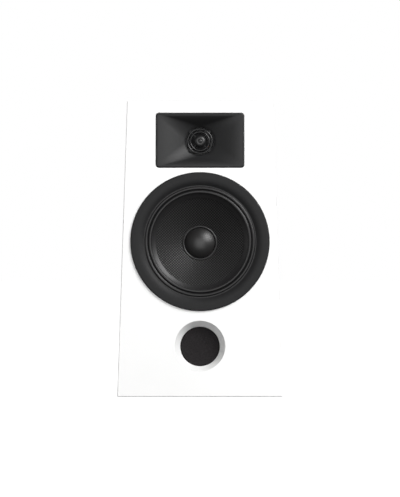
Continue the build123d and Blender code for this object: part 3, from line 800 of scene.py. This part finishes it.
turn_radius = maths("ADD", turn_place.outputs["X"], middle_radius)
kept_radius = winding_tree.nodes.new("GeometryNodeStoreNamedAttribute")
kept_radius.inputs["Name"].default_value = "turn radius"
winding_tree.links.new(turn_points.outputs["Points"], kept_radius.inputs["Geometry"])
winding_tree.links.new(turn_radius, kept_radius.inputs["Value"])
turn_height = node(winding_tree, "ShaderNodeCombineXYZ",
                   Z=maths("ADD", turn_place.outputs["Y"], maths("MULTIPLY", given["Length"], 0.5)))
stacked = node(winding_tree, "GeometryNodeSetPosition", Geometry=kept_radius.outputs[0],
               Position=turn_height.outputs[0])
read_radius = winding_tree.nodes.new("GeometryNodeInputNamedAttribute")
read_radius.inputs["Name"].default_value = "turn radius"
one_turn = node(winding_tree, "GeometryNodeCurvePrimitiveCircle", Resolution=given["Sides"], Radius=1.0)
all_turns = node(winding_tree, "GeometryNodeInstanceOnPoints", Points=stacked.outputs[0],
                 Instance=one_turn.outputs[0], Scale=read_radius.outputs["Attribute"])
loose_turns = node(winding_tree, "GeometryNodeRealizeInstances", Geometry=all_turns.outputs[0])
wire_section = node(winding_tree, "GeometryNodeCurvePrimitiveCircle", Resolution=6, Radius=half_wire)
wound = node(winding_tree, "GeometryNodeCurveToMesh", Curve=loose_turns.outputs[0],
             Profile_Curve=wire_section.outputs[0])
end_tree(winding_tree, wound.outputs[0], given)


def coil(name, node_name, body, place, inner, outer, length, wire, sides):
    """A winding on its former, standing on Z = 0 of its own place."""
    shape = grown(winding_tree, copper_wire, inner_radius=inner, outer_radius=outer, length=length,
                  wire=wire, sides=sides)
    piece = put(name, *shape, place, copper_wire, body, 60, "copper_wire")
    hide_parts(node_name)


def along(place, height):
    """A place moved along its own axis, in millimetres."""
    return place @ Matrix.Translation((0, 0, height))


def standing(node_name):
    """The place of an upright round node: its middle, at its foot."""
    low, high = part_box(node_name)
    return Matrix.Translation(((low.x + high.x) / 2, (low.y + high.y) / 2, low.z)) @ Matrix.Scale(MM, 4)


coil("woofer_coil_turns", "woofer_voice_coil", "woofer_cone_assembly", along(ON_WOOFER, -70),
     16.62, 17.3, 10.0, 0.33, 96)
coil("tweeter_coil_turns", "tweeter_voice_coil", "tweeter_dome_assembly", along(ON_TWEETER, -24),
     12.42, 12.9, 4.0, 0.22, 72)
coil("woofer_choke_turns", "woofer_inductor", "root", standing("woofer_inductor"), 8, 20, 18, 1.0, 48)
coil("tweeter_choke_turns", "tweeter_inductor", "root", standing("tweeter_inductor"), 4, 10, 12,
     0.7, 40)
former_line = [(12.02, 0), (12.4, 0), (12.4, 5.4), (12.02, 5.4)]
tweeter_former_foil = mottled("former_foil", (0.75, 0.75, 0.74, 1), 0.35, 0.004, 0.03, 0.000004,
                              0.0005, metallic=1.0)
tweeter_former = turned("tweeter_coil_former", former_line, along(ON_TWEETER, -24), tweeter_former_foil,
                        "tweeter_dome_assembly", "former_foil", 72)
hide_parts("tweeter_voice_coil")
finish(tweeter_former_foil, "woofer_coil_former")


# ---- SCREWS ------------
# Black oxide steel screws with countersunk heads and a cross recess, in the woofer's flange, the
# clamp bars, the terminal cup and the crossover board. Each group is stopped at its own turn.
SCREW_BLACK = (0.035, 0.035, 0.037, 1)

black_steel = mottled("black_steel", SCREW_BLACK, 0.35, 0.002, 0.15, 0.00001, 0.0004, metallic=0.7)
screw_tree, given, maths = new_tree(
    "screws", head_radius=3.0, shank_radius=1.9, length=15.0, recess=0.9, seed=7,
)
head_height = maths("SUBTRACT", given["Head Radius"], given["Shank Radius"])
sunk = node(screw_tree, "GeometryNodeMeshCone", Vertices=28, Radius_Top=given["Head Radius"],
            Radius_Bottom=given["Shank Radius"], Depth=head_height)
sunk_place = node(screw_tree, "ShaderNodeCombineXYZ", Z=maths("MULTIPLY", head_height, -1.0))
sunk_head = node(screw_tree, "GeometryNodeTransform", Geometry=sunk.outputs["Mesh"],
                 Translation=sunk_place.outputs[0])
slot_long = maths("MULTIPLY", given["Head Radius"], 1.3)
slot_deep = maths("MULTIPLY", given["Head Radius"], 0.9)
cuts = []
for long_axis in ("X", "Y"):
    sizes = {"X": given["Recess"], "Y": given["Recess"], "Z": slot_deep, long_axis: slot_long}
    cuts.append(node(screw_tree, "GeometryNodeMeshCube",
                     Size=node(screw_tree, "ShaderNodeCombineXYZ", **sizes).outputs[0]))
carved = sunk_head.outputs[0]
for cut in cuts:
    boolean = screw_tree.nodes.new("GeometryNodeMeshBoolean")
    screw_tree.links.new(carved, boolean.inputs["Mesh 1"])
    screw_tree.links.new(cut.outputs["Mesh"], boolean.inputs["Mesh 2"])
    carved = boolean.outputs[0]
shank_length = maths("SUBTRACT", given["Length"], head_height)
shank = node(screw_tree, "GeometryNodeMeshCone", Vertices=16,
             Radius_Top=maths("MULTIPLY", given["Shank Radius"], 0.8),
             Radius_Bottom=maths("MULTIPLY", given["Shank Radius"], 0.5), Depth=shank_length)
shank_place = node(screw_tree, "ShaderNodeCombineXYZ", Z=maths("MULTIPLY", given["Length"], -1.0))
shank_moved = node(screw_tree, "GeometryNodeTransform", Geometry=shank.outputs["Mesh"],
                   Translation=shank_place.outputs[0])
thread = node(screw_tree, "GeometryNodeCurveSpiral", Resolution=14, Rotations=8.0,
              Start_Radius=maths("MULTIPLY", given["Shank Radius"], 0.62),
              End_Radius=maths("MULTIPLY", given["Shank Radius"], 0.86),
              Height=maths("MULTIPLY", shank_length, 0.9))
ridge = node(screw_tree, "GeometryNodeCurvePrimitiveCircle", Resolution=3,
             Radius=maths("MULTIPLY", given["Shank Radius"], 0.14))
threaded = node(screw_tree, "GeometryNodeCurveToMesh", Curve=thread.outputs[0],
                Profile_Curve=ridge.outputs[0])
threaded.inputs["Fill Caps"].default_value = True
thread_place = node(screw_tree, "ShaderNodeCombineXYZ", Z=maths("MULTIPLY", given["Length"], -0.97))
thread_moved = node(screw_tree, "GeometryNodeTransform", Geometry=threaded.outputs[0],
                    Translation=thread_place.outputs[0])
one_screw = screw_tree.nodes.new("GeometryNodeJoinGeometry")
for part in (carved, shank_moved.outputs[0], thread_moved.outputs[0]):
    screw_tree.links.new(part, one_screw.inputs[0])
any_turn = screw_tree.nodes.new("FunctionNodeRandomValue")
any_turn.inputs[3].default_value = pi
screw_tree.links.new(given["Seed"], any_turn.inputs["Seed"])
stopped = node(screw_tree, "ShaderNodeCombineXYZ", Z=any_turn.outputs[1])
screws_set = node(screw_tree, "GeometryNodeInstanceOnPoints", Points=given["Geometry"],
                  Instance=one_screw.outputs[0], Rotation=stopped.outputs[0])
end_tree(screw_tree, screws_set.outputs[0], given)


def screws(name, node_name, place, points, **sizes):
    """One group of screws, driven along -Z of its place at the given points."""
    piece = put(name, *grown(screw_tree, black_steel, points, **sizes), place, black_steel, "root",
                30, "black_steel")
    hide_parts(node_name)


FROM_BACK = Matrix(((-1, 0, 0), (0, 0, 1), (0, 1, 0))).to_4x4()


def on_back(node_name):
    """The frame on the back panel round a node: X to its right as seen from behind, Z outwards."""
    low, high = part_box(node_name)
    middle = (low + high) / 2
    return Matrix.Translation((middle.x, cad_high.y, middle.z)) @ FROM_BACK @ Matrix.Scale(MM, 4)


ON_CUP = on_back("terminal_cup")
flange_points = [
    (82.3 * cos(radians(30 + 60 * i)), 82.3 * sin(radians(30 + 60 * i)), -2.2) for i in range(6)
]
screws("woofer_flange_screws", "woofer_screws", ON_WOOFER, flange_points)
CLAMPS_FACE_BACK = Matrix(((1, 0, 0), (0, -1, 0), (0, 0, -1))).to_4x4()
clamp_points = [(x, y, 20) for x in (-44, 44) for y in (-18, 18)]
screws("tweeter_bar_screws", "tweeter_clamp_screws", ON_TWEETER @ CLAMPS_FACE_BACK, clamp_points,
       shank_radius=1.5, length=14.0, seed=3)
cup_points = [(x, y, 0) for x in (-39.5, 39.5) for y in (-29.5, 29.5)]
screws("terminal_flange_screws", "terminal_cup_screws", ON_CUP, cup_points,
       head_radius=3.2, shank_radius=1.75, length=16.0, seed=5)
board_low, board_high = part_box("crossover_screws")
board_points = [(x, y, board_high.z / MM) for x in (-45, 45) for y in (30, 90)]
screws("board_screws", "crossover_screws", Matrix.Scale(MM, 4), board_points,
       head_radius=2.6, shank_radius=1.5, length=(board_high.z - board_low.z) / MM, seed=9)


# ---- DRIVER FRAMES, MAGNETS AND IRON ------------
# The basket is die-cast aluminium with a black powder coat. Zinc-plated steel plates and yokes
# are glued to unpainted ferrite rings, and thin foam gaskets seal the flanges to the cabinet.
CAST_BLACK = (0.03, 0.03, 0.031, 1)
ZINC = (0.56, 0.57, 0.58, 1)
FERRITE_GREY = (0.055, 0.055, 0.06, 1)
GASKET_BLACK = (0.025, 0.025, 0.025, 1)

cast_frame = mottled("cast_frame", CAST_BLACK, 0.5, 0.003, 0.12, 0.00015, 0.0012)
finish(cast_frame, "woofer_basket")

motor_steel, nodes, links, shader, place = new_material("motor_steel", ZINC, 0.32)
shader.inputs["Metallic"].default_value = 1.0
mottle(nodes, links, shader, place, 260, shade(ZINC, 1.12), (0.50, 0.50, 0.44, 1), 6)
grain(nodes, links, shader, place, 1800, 0.00001)
finish(motor_steel, "woofer_front_plate", "woofer_yoke", "tweeter_yoke")

ferrite = mottled("ferrite", FERRITE_GREY, 0.55, 0.0015, 0.25, 0.00012, 0.0009)
finish(ferrite, "woofer_magnet", "tweeter_magnet")

gasket_foam, nodes, links, shader, place = new_material("gasket_foam", GASKET_BLACK, 0.9)
mottle(nodes, links, shader, place, 1500, shade(GASKET_BLACK, 1.4), shade(GASKET_BLACK, 0.6))
grain(nodes, links, shader, place, 1400, 0.0003, 2, voronoi=True)


def gasket(name, node_name, place, inner, outer, low, high):
    """A flat foam ring, pressed a little round at its edges."""
    line = [(inner + 0.3, high), (outer - 0.3, high), (outer, high - 0.35), (outer, low + 0.35),
            (outer - 0.3, low), (inner + 0.3, low), (inner, low + 0.35), (inner, high - 0.35)]
    piece = turned(name, line, place, gasket_foam, "root", "gasket_foam", 128, 60)
    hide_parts(node_name)


gasket("woofer_foam_ring", "woofer_gasket", ON_WOOFER, 76, 86, -7, -6)
gasket("tweeter_foam_ring", "tweeter_gasket", ON_TWEETER, 18.6, 29, HORN_FLANGE_Z - 1, HORN_FLANGE_Z)
finish(black_steel, "tweeter_clamp_bars", "tweeter_front_plate")
finish(mottled("chamber_plastic", HORN_BLACK, 0.5, 0.004, 0.1, 0.00008, 0.0009), "tweeter_rear_chamber")


# ---- BOARDS ------------
# The crossover is built on a brown paper-phenolic board with moulded feet, and the woofer's
# terminal strip is punched from the same sheet. Both show the paper's faint fibres.
BOARD_BROWN = (0.20, 0.095, 0.035, 1)

brown_board, nodes, links, shader, place = new_material("brown_board", BOARD_BROWN, 0.42)
fibres = nodes.new("ShaderNodeMapping")
fibres.inputs["Scale"].default_value = (1, 9, 9)
links.new(place, fibres.inputs["Vector"])
mottle(nodes, links, shader, fibres.outputs["Vector"], 220, shade(BOARD_BROWN, 1.25),
       shade(BOARD_BROWN, 0.8), 6)
grain(nodes, links, shader, place, 900, 0.00003)
finish(brown_board, "woofer_terminal_strip", "crossover_board")


# ---- CROSSOVER PARTS ------------
# Film capacitors wrapped in blue tape with resin-filled ends, and two white cement resistors.
# Tinned copper leads bend down from their ends into the board.
FILM_BLUE = (0.035, 0.13, 0.40, 1)
CEMENT_WHITE = (0.74, 0.72, 0.66, 1)
TINNED = (0.72, 0.71, 0.69, 1)
LEAD_WIRE = 0.0009

film_tape, nodes, links, shader, place = new_material("capacitor_film", FILM_BLUE, 0.28)
shader.inputs["Coat Weight"].default_value = 0.4
wraps = nodes.new("ShaderNodeTexWave")
wraps.bands_direction = "X"
wraps.inputs["Scale"].default_value = 60
wraps.inputs["Distortion"].default_value = 1.5
links.new(place, wraps.inputs["Vector"])
tape_relief = nodes.new("ShaderNodeBump")
tape_relief.inputs["Distance"].default_value = 0.00004
links.new(wraps.outputs["Fac"], tape_relief.inputs["Height"])
links.new(tape_relief.outputs["Normal"], shader.inputs["Normal"])
mottle(nodes, links, shader, place, 140, shade(FILM_BLUE, 1.12), shade(FILM_BLUE, 0.85))
finish(film_tape, "crossover_capacitors")
cement = mottled("resistor_ceramic", CEMENT_WHITE, 0.8, 0.0015, 0.08, 0.0002, 0.0007)
finish(cement, "crossover_resistors")
tinned_copper = mottled("tinned_copper", TINNED, 0.3, 0.001, 0.08, 0.00001, 0.0003, metallic=1.0)


def wire_route(name, points, thickness):
    """A round wire as a NURBS curve through the neighbourhood of a few chosen points, in metres."""
    data = bpy.data.curves.new(name, "CURVE")
    data.dimensions = "3D"
    data.bevel_depth = thickness / 2
    data.bevel_resolution = 4
    data.resolution_u = 10
    data.use_fill_caps = True
    spline = data.splines.new("NURBS")
    spline.points.add(len(points) - 1)
    for point, target in zip(spline.points, points):
        point.co = (*target, 1)
    spline.order_u = 3
    spline.use_endpoint_u = True
    curve = bpy.data.objects.new(name, data)
    bpy.context.scene.collection.objects.link(curve)
    return curve


def wires(name, routes, thickness, material, slot_name):
    """Several stiff wires as one mesh piece."""
    shapes = [taken(wire_route("wire", route, thickness)) for route in routes]
    return put(name, *joined(*shapes), Matrix.Identity(4), material, None, 60, slot_name)


board_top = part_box("woofer_inductor")[0].z
lead_routes = []
for x, y, radius, length in ((20, 42, 8.5, 32), (20, 62, 7, 28), (12, 82, 6, 24)):
    height = board_top + radius * MM
    for side in (-1, 1):
        end, foot = (x + side * length / 2) * MM, (x + side * (length / 2 + 2.2)) * MM
        lead_routes.append([(end - side * MM, y * MM, height), (end + side * 1.4 * MM, y * MM, height),
                            (foot, y * MM, height), (foot, y * MM, height - 2.5 * MM),
                            (foot, y * MM, board_top + 0.1 * MM)])
for y in (38, 63):
    for end, side in ((y, -1), (y + 22, 1)):
        lead_routes.append([(0.040, (end - side) * MM, board_top + 4 * MM),
                            (0.040, (end + side * 2) * MM, board_top + 4 * MM),
                            (0.040, (end + side * 2) * MM, board_top + 0.1 * MM)])
component_leads = wires("crossover_leads", lead_routes, LEAD_WIRE, tinned_copper, "copper_wire")
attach(component_leads, "root")

solder_points = [(*(Vector(route[-1]) / MM)[:2], board_top / MM) for route in lead_routes]
solder_tree, given, maths = new_tree("solder", radius=1.5)
blob = node(solder_tree, "GeometryNodeMeshUVSphere", Segments=14, Rings=8, Radius=given["Radius"])
flattened = node(solder_tree, "GeometryNodeTransform", Geometry=blob.outputs["Mesh"],
                 Scale=(1, 1, 0.45))
blobs = node(solder_tree, "GeometryNodeInstanceOnPoints", Points=given["Geometry"],
             Instance=flattened.outputs[0])
end_tree(solder_tree, blobs.outputs[0], given)
put("solder_joints", *grown(solder_tree, tinned_copper, solder_points), Matrix.Scale(MM, 4),
    tinned_copper, "root", 60)


# ---- TINSEL LEADS ------------
# Two limp braids of copper tinsel over a thread core run from the terminal strip to the back of
# the cone. They bend as the cone moves, between their soldered and their glued ends.
tinsel = mottled("tinsel", COPPER, 0.35, 0.0006, 0.25, 0.00012, 0.0005, metallic=0.8)
TINSEL = 0.001


def centreline(points):
    """The points along the middle of a wire's route, and its length."""
    spots = taken(wire_route("middle", points, 0))[0]
    return spots, sum((there - here).length for here, there in zip(spots, spots[1:]))


for side, x in (("left", -5), ("right", 5)):
    route = [ON_WOOFER @ Vector((x, y, z))
             for y, z in ((-63, -61.6), (-62, -50), (-52, -36), (-40, -28), (-34, -20))]
    braid = wires(f"{side}_tinsel_braid", [route], TINSEL, tinsel, "copper_wire")
    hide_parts("woofer_tinsel_leads")
    flex(braid, 60, 36, ON_WOOFER)
    spots, length = centreline(route)


# ---- CABLES ------------
# Round two-core cables in a soft black jacket: from the binding posts to the board, and from
# the board to each driver. They are soldered at the board and pushed onto the drivers' tags.
JACKET_BLACK = (0.02, 0.02, 0.02, 1)
CABLE = 0.004

cable_jacket = mottled("cable_jacket", JACKET_BLACK, 0.45, 0.003, 0.1, 0.00004, 0.0008)


def cable_between(name, node_name, points):
    """A cable along a route that starts and ends on the object."""
    route = [(x * MM, y * MM, z * MM) for x, y, z in points]
    cable = wire_route(name, route, CABLE)
    cable.data.materials.append(cable_jacket)
    length = centreline(route)[1]
    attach(cable, "root")
    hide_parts(node_name)


cable_between("input_lead", "input_cable",
              [(0, 98, 106), (0, 98, 80), (0, 101, 55), (0, 97, 35), (0, 92, 22.5)])
cable_between("woofer_lead", "woofer_cable", [
    (0, 27, 22.5), (0, 24, 50), (0, 16, 80), (0, 0, 104), (0, -24, 120), (0, -44, 126), (0, -58, 128),
])
cable_between("tweeter_lead", "tweeter_cable", [
    (40, 91, 22.5), (42, 93, 48), (48, 90, 90), (50, 88, 140), (49, 87, 190), (46, 85, 235),
    (42, 78, 280), (38, 56, 312), (36, 16, 326), (34, -30, 328), (33.5, -70, 328), (33.5, -86.5, 328),
])


# ---- TERMINALS ------------
# A moulded black cup in the back panel holds two gold-plated binding posts with nuts, solder
# tags and clamp washers. Ribbed knobs, one red and one black, screw along the posts.
CUP_BLACK = (0.022, 0.022, 0.023, 1)
GOLD = (0.83, 0.58, 0.22, 1)
KNOB_RED = (0.50, 0.012, 0.012, 1)
KNOB_BLACK = (0.014, 0.014, 0.015, 1)
RECESS_FLOOR = -23.0
RIBS = 24

finish(mottled("cup_plastic", CUP_BLACK, 0.55, 0.003, 0.1, 0.00008, 0.0006), "terminal_cup")
gold_plate = mottled("gold_plate", GOLD, 0.2, 0.004, 0.06, 0.000004, 0.0008, metallic=1.0)
finish(gold_plate, "binding_post_red", "binding_post_black", "clamp_washer_red", "clamp_washer_black",
       "post_nuts", "post_solder_tags", "tweeter_terminals")

ribs_tree, given, maths = new_tree("ribs", radius=6.45, rib=0.55, low=6.2, high=18.4, count=RIBS)
rib_height = maths("SUBTRACT", given["High"], given["Low"])
rib = node(ribs_tree, "GeometryNodeMeshCylinder", Vertices=8, Radius=given["Rib"], Depth=rib_height)
round_knob = node(ribs_tree, "GeometryNodeMeshCircle", Vertices=given["Count"], Radius=given["Radius"])
rib_middle = node(ribs_tree, "ShaderNodeCombineXYZ",
                  Z=maths("MULTIPLY", maths("ADD", given["High"], given["Low"]), 0.5))
rib_circle = node(ribs_tree, "GeometryNodeTransform", Geometry=round_knob.outputs[0],
                  Translation=rib_middle.outputs[0])
ribs_set = node(ribs_tree, "GeometryNodeInstanceOnPoints", Points=rib_circle.outputs[0],
                Instance=rib.outputs["Mesh"])
end_tree(ribs_tree, ribs_set.outputs[0], given)

knob_line = [(4.06, 3.5), (6.6, 3.5), (7.0, 3.9), (7.0, 5.6), (6.5, 6.2), (6.5, 18.4), (6.9, 18.8),
             (6.9, 19.6)]
knob_line += three_point_arc((6.9, 19.6), (6.6, 20.25), (6.0, 20.5), 5) + [(4.6, 20.5), (4.06, 20.0)]
for colour, tone in (("red", KNOB_RED), ("black", KNOB_BLACK)):
    knob_place = on_back(f"post_knob_{colour}") @ Matrix.Translation((0, 0, RECESS_FLOOR))
    knob_plastic = mottled(f"{colour}_plastic", tone, 0.25, 0.006, 0.04, 0.00001, 0.001, coat=0.3)
    barrel = turned(f"{colour}_knob_barrel", knob_line, knob_place, knob_plastic, f"{colour}_knob",
                    f"{colour}_plastic", 72)
    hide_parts(f"post_knob_{colour}")
    ribs = put(f"{colour}_knob_ribs", *grown(ribs_tree, knob_plastic), knob_place, knob_plastic,
               f"{colour}_knob", 60, f"{colour}_plastic")
    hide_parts(f"post_knob_{colour}")


# ---- BRACE ------------
# A raw MDF frame is glued across the cabinet between the drivers. Its faces are smooth and its
# sawn edges show the board's fine fibres.
MDF_BROWN = (0.40, 0.27, 0.15, 1)

raw_board, nodes, links, shader, place = new_material("raw_fibreboard", MDF_BROWN, 0.85)
mottle(nodes, links, shader, place, 900, shade(MDF_BROWN, 1.2), shade(MDF_BROWN, 0.75), 8)
grain(nodes, links, shader, place, 1500, 0.00012)
finish(raw_board, "window_brace")


# ---- DAMPING ------------
# Grey needled felt is glued to the side walls and a thicker polyester pad behind the woofer.
# Both are soft: their faces swell between the glue spots and their cut edges are rounded.
FELT_GREY = (0.115, 0.118, 0.128, 1)

damping_felt, nodes, links, shader, place = new_material("damping_felt", FELT_GREY, 1.0)
shader.inputs["Sheen Weight"].default_value = 0.35
shader.inputs["Sheen Roughness"].default_value = 0.6
mottle(nodes, links, shader, place, 500, shade(FELT_GREY, 1.7), shade(FELT_GREY, 0.55), 8)
grain(nodes, links, shader, place, 900, 0.0008, 8)


def soft_slab(name, node_name, corner, across, along, thick):
    """A felt slab of three edge vectors in millimetres, glued by the face that holds its corner."""
    corner, across, along, thick = (Vector(edge) for edge in (corner, across, along, thick))
    count = 60
    row = count + 1
    sheet = row * row
    vertices = []
    for face in ("glued", "free"):
        for j in range(row):
            for i in range(row):
                u, v = i / count, j / count
                rounding = (1 - abs(2 * u - 1) ** 16) * (1 - abs(2 * v - 1) ** 16)
                point = corner + across * u + along * v
                swell = swell_at(point * 0.028) + 0.4 * swell_at(point * 0.09)
                height = 0.01 if face == "glued" else 0.55 + (0.36 + 0.08 * swell) * rounding
                vertices.append(point + thick * height)
    faces = []
    for j in range(count):
        for i in range(count):
            a = j * row + i
            faces.append((a, a + 1, a + row + 1, a + row))
            faces.append((sheet + a, sheet + a + row, sheet + a + row + 1, sheet + a + 1))
    for i in range(count):
        for a, b in ((i, i + 1), (count * row + i, count * row + i + 1), (i * row, (i + 1) * row),
                     (i * row + count, (i + 1) * row + count)):
            faces.append((a, b, sheet + b, sheet + a))
    piece = put(name, vertices, faces, Matrix.Scale(MM, 4), damping_felt, "root", 60, "damping_felt")
    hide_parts(node_name)


for name, side in (("left_felt", -1), ("right_felt", 1)):
    soft_slab(name, "side_damping_felts", (side * 87.8, -70, 100), (0, 165, 0),
              (side * -5.2, 0, 165), (side * -8, 0, 0))
soft_slab("back_pad", "back_damping_pad", (-60, 117.5, 165), (120, 0, 0), (0, 0, 105), (0, -18, 0))


# ---- STUDIO ------------
# A white floor that casts no light, a key softbox at the right in front, a large fill behind
# the camera, weak ones at the left and overhead, one behind, and a long level lens.
VIEW_HEIGHT = 0.63616
LENS = 200.0
SENSOR = 36.0

scene = bpy.context.scene
scene.view_settings.view_transform = "Standard"
floor_mesh = bpy.data.meshes.new("floor")
floor_mesh.from_pydata([(-12, -12, 0), (12, -12, 0), (12, 12, 0), (-12, 12, 0)], [], [(0, 1, 2, 3)])
floor = bpy.data.objects.new("floor", floor_mesh)
scene.collection.objects.link(floor)
floor_paint, nodes, links, shader, place = new_material("floor_paint", (0.12, 0.12, 0.12, 1), 0.6)
shader.inputs["Specular IOR Level"].default_value = 0.1
shader.inputs["Emission Color"].default_value = (1, 1, 1, 1)
shader.inputs["Emission Strength"].default_value = 1.03
grain(nodes, links, shader, place, 90, 0.00002)
floor_mesh.materials.append(floor_paint)
floor.visible_diffuse = False
floor.visible_glossy = False
floor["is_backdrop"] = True

world = bpy.data.worlds.new("studio")
scene.world = world
world.use_nodes = True
world_nodes, world_links = world.node_tree.nodes, world.node_tree.links
walls = world_nodes["Background"]
walls.inputs["Color"].default_value = (1, 1, 1, 1)
walls.inputs["Strength"].default_value = 0.13
backdrop = world_nodes.new("ShaderNodeBackground")
backdrop.inputs["Color"].default_value = (1, 1, 1, 1)
backdrop.inputs["Strength"].default_value = 1.0
sight = world_nodes.new("ShaderNodeLightPath")
either = world_nodes.new("ShaderNodeMixShader")
world_links.new(sight.outputs["Is Camera Ray"], either.inputs["Fac"])
world_links.new(walls.outputs[0], either.inputs[1])
world_links.new(backdrop.outputs[0], either.inputs[2])
world_links.new(either.outputs[0], world_nodes["World Output"].inputs["Surface"])


def softbox(name, place, target, width, height, power):
    """A rectangular area light turned to a point."""
    light = bpy.data.lights.new(name, "AREA")
    light.shape = "RECTANGLE"
    light.size, light.size_y = width, height
    light.energy = power
    lamp = bpy.data.objects.new(name, light)
    scene.collection.objects.link(lamp)
    lamp.location = place
    lamp.rotation_euler = (Vector(target) - Vector(place)).to_track_quat("-Z", "Y").to_euler()


middle = (cad_low + cad_high) / 2
KEY_OFF_AXIS, KEY_RISE = radians(55), radians(44)
key_way = Vector((sin(KEY_OFF_AXIS) * cos(KEY_RISE), -cos(KEY_OFF_AXIS),
                  sin(KEY_OFF_AXIS) * sin(KEY_RISE)))
softbox("key", middle + key_way * 2.6, middle, 1.3, 1.3, 68)
softbox("fill", (0, -4.3, 0.5), middle, 3.6, 3.6, 108)
softbox("left", (-3.0, -0.7, 0.6), middle, 1.8, 1.8, 13)
softbox("overhead", (0, 0.4, 2.6), middle, 1.6, 1.2, 16)
softbox("rear", (1.0, 2.6, 1.2), middle, 1.4, 1.4, 50)

camera_data = bpy.data.cameras.new("camera")
camera_data.lens = LENS
camera_data.sensor_width = SENSOR
camera = bpy.data.objects.new("camera", camera_data)
scene.collection.objects.link(camera)
camera.location = (0, cad_low.y - VIEW_HEIGHT * LENS / SENSOR, middle.z)
camera.rotation_euler = (radians(90), 0, 0)
camera_data.clip_start = 0.1
camera_data.clip_end = 60
scene.camera = camera

seen_low, seen_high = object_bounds()
sizes = {"cad": [list(cad_low), list(cad_high)], "visual": [list(seen_low), list(seen_high)]}
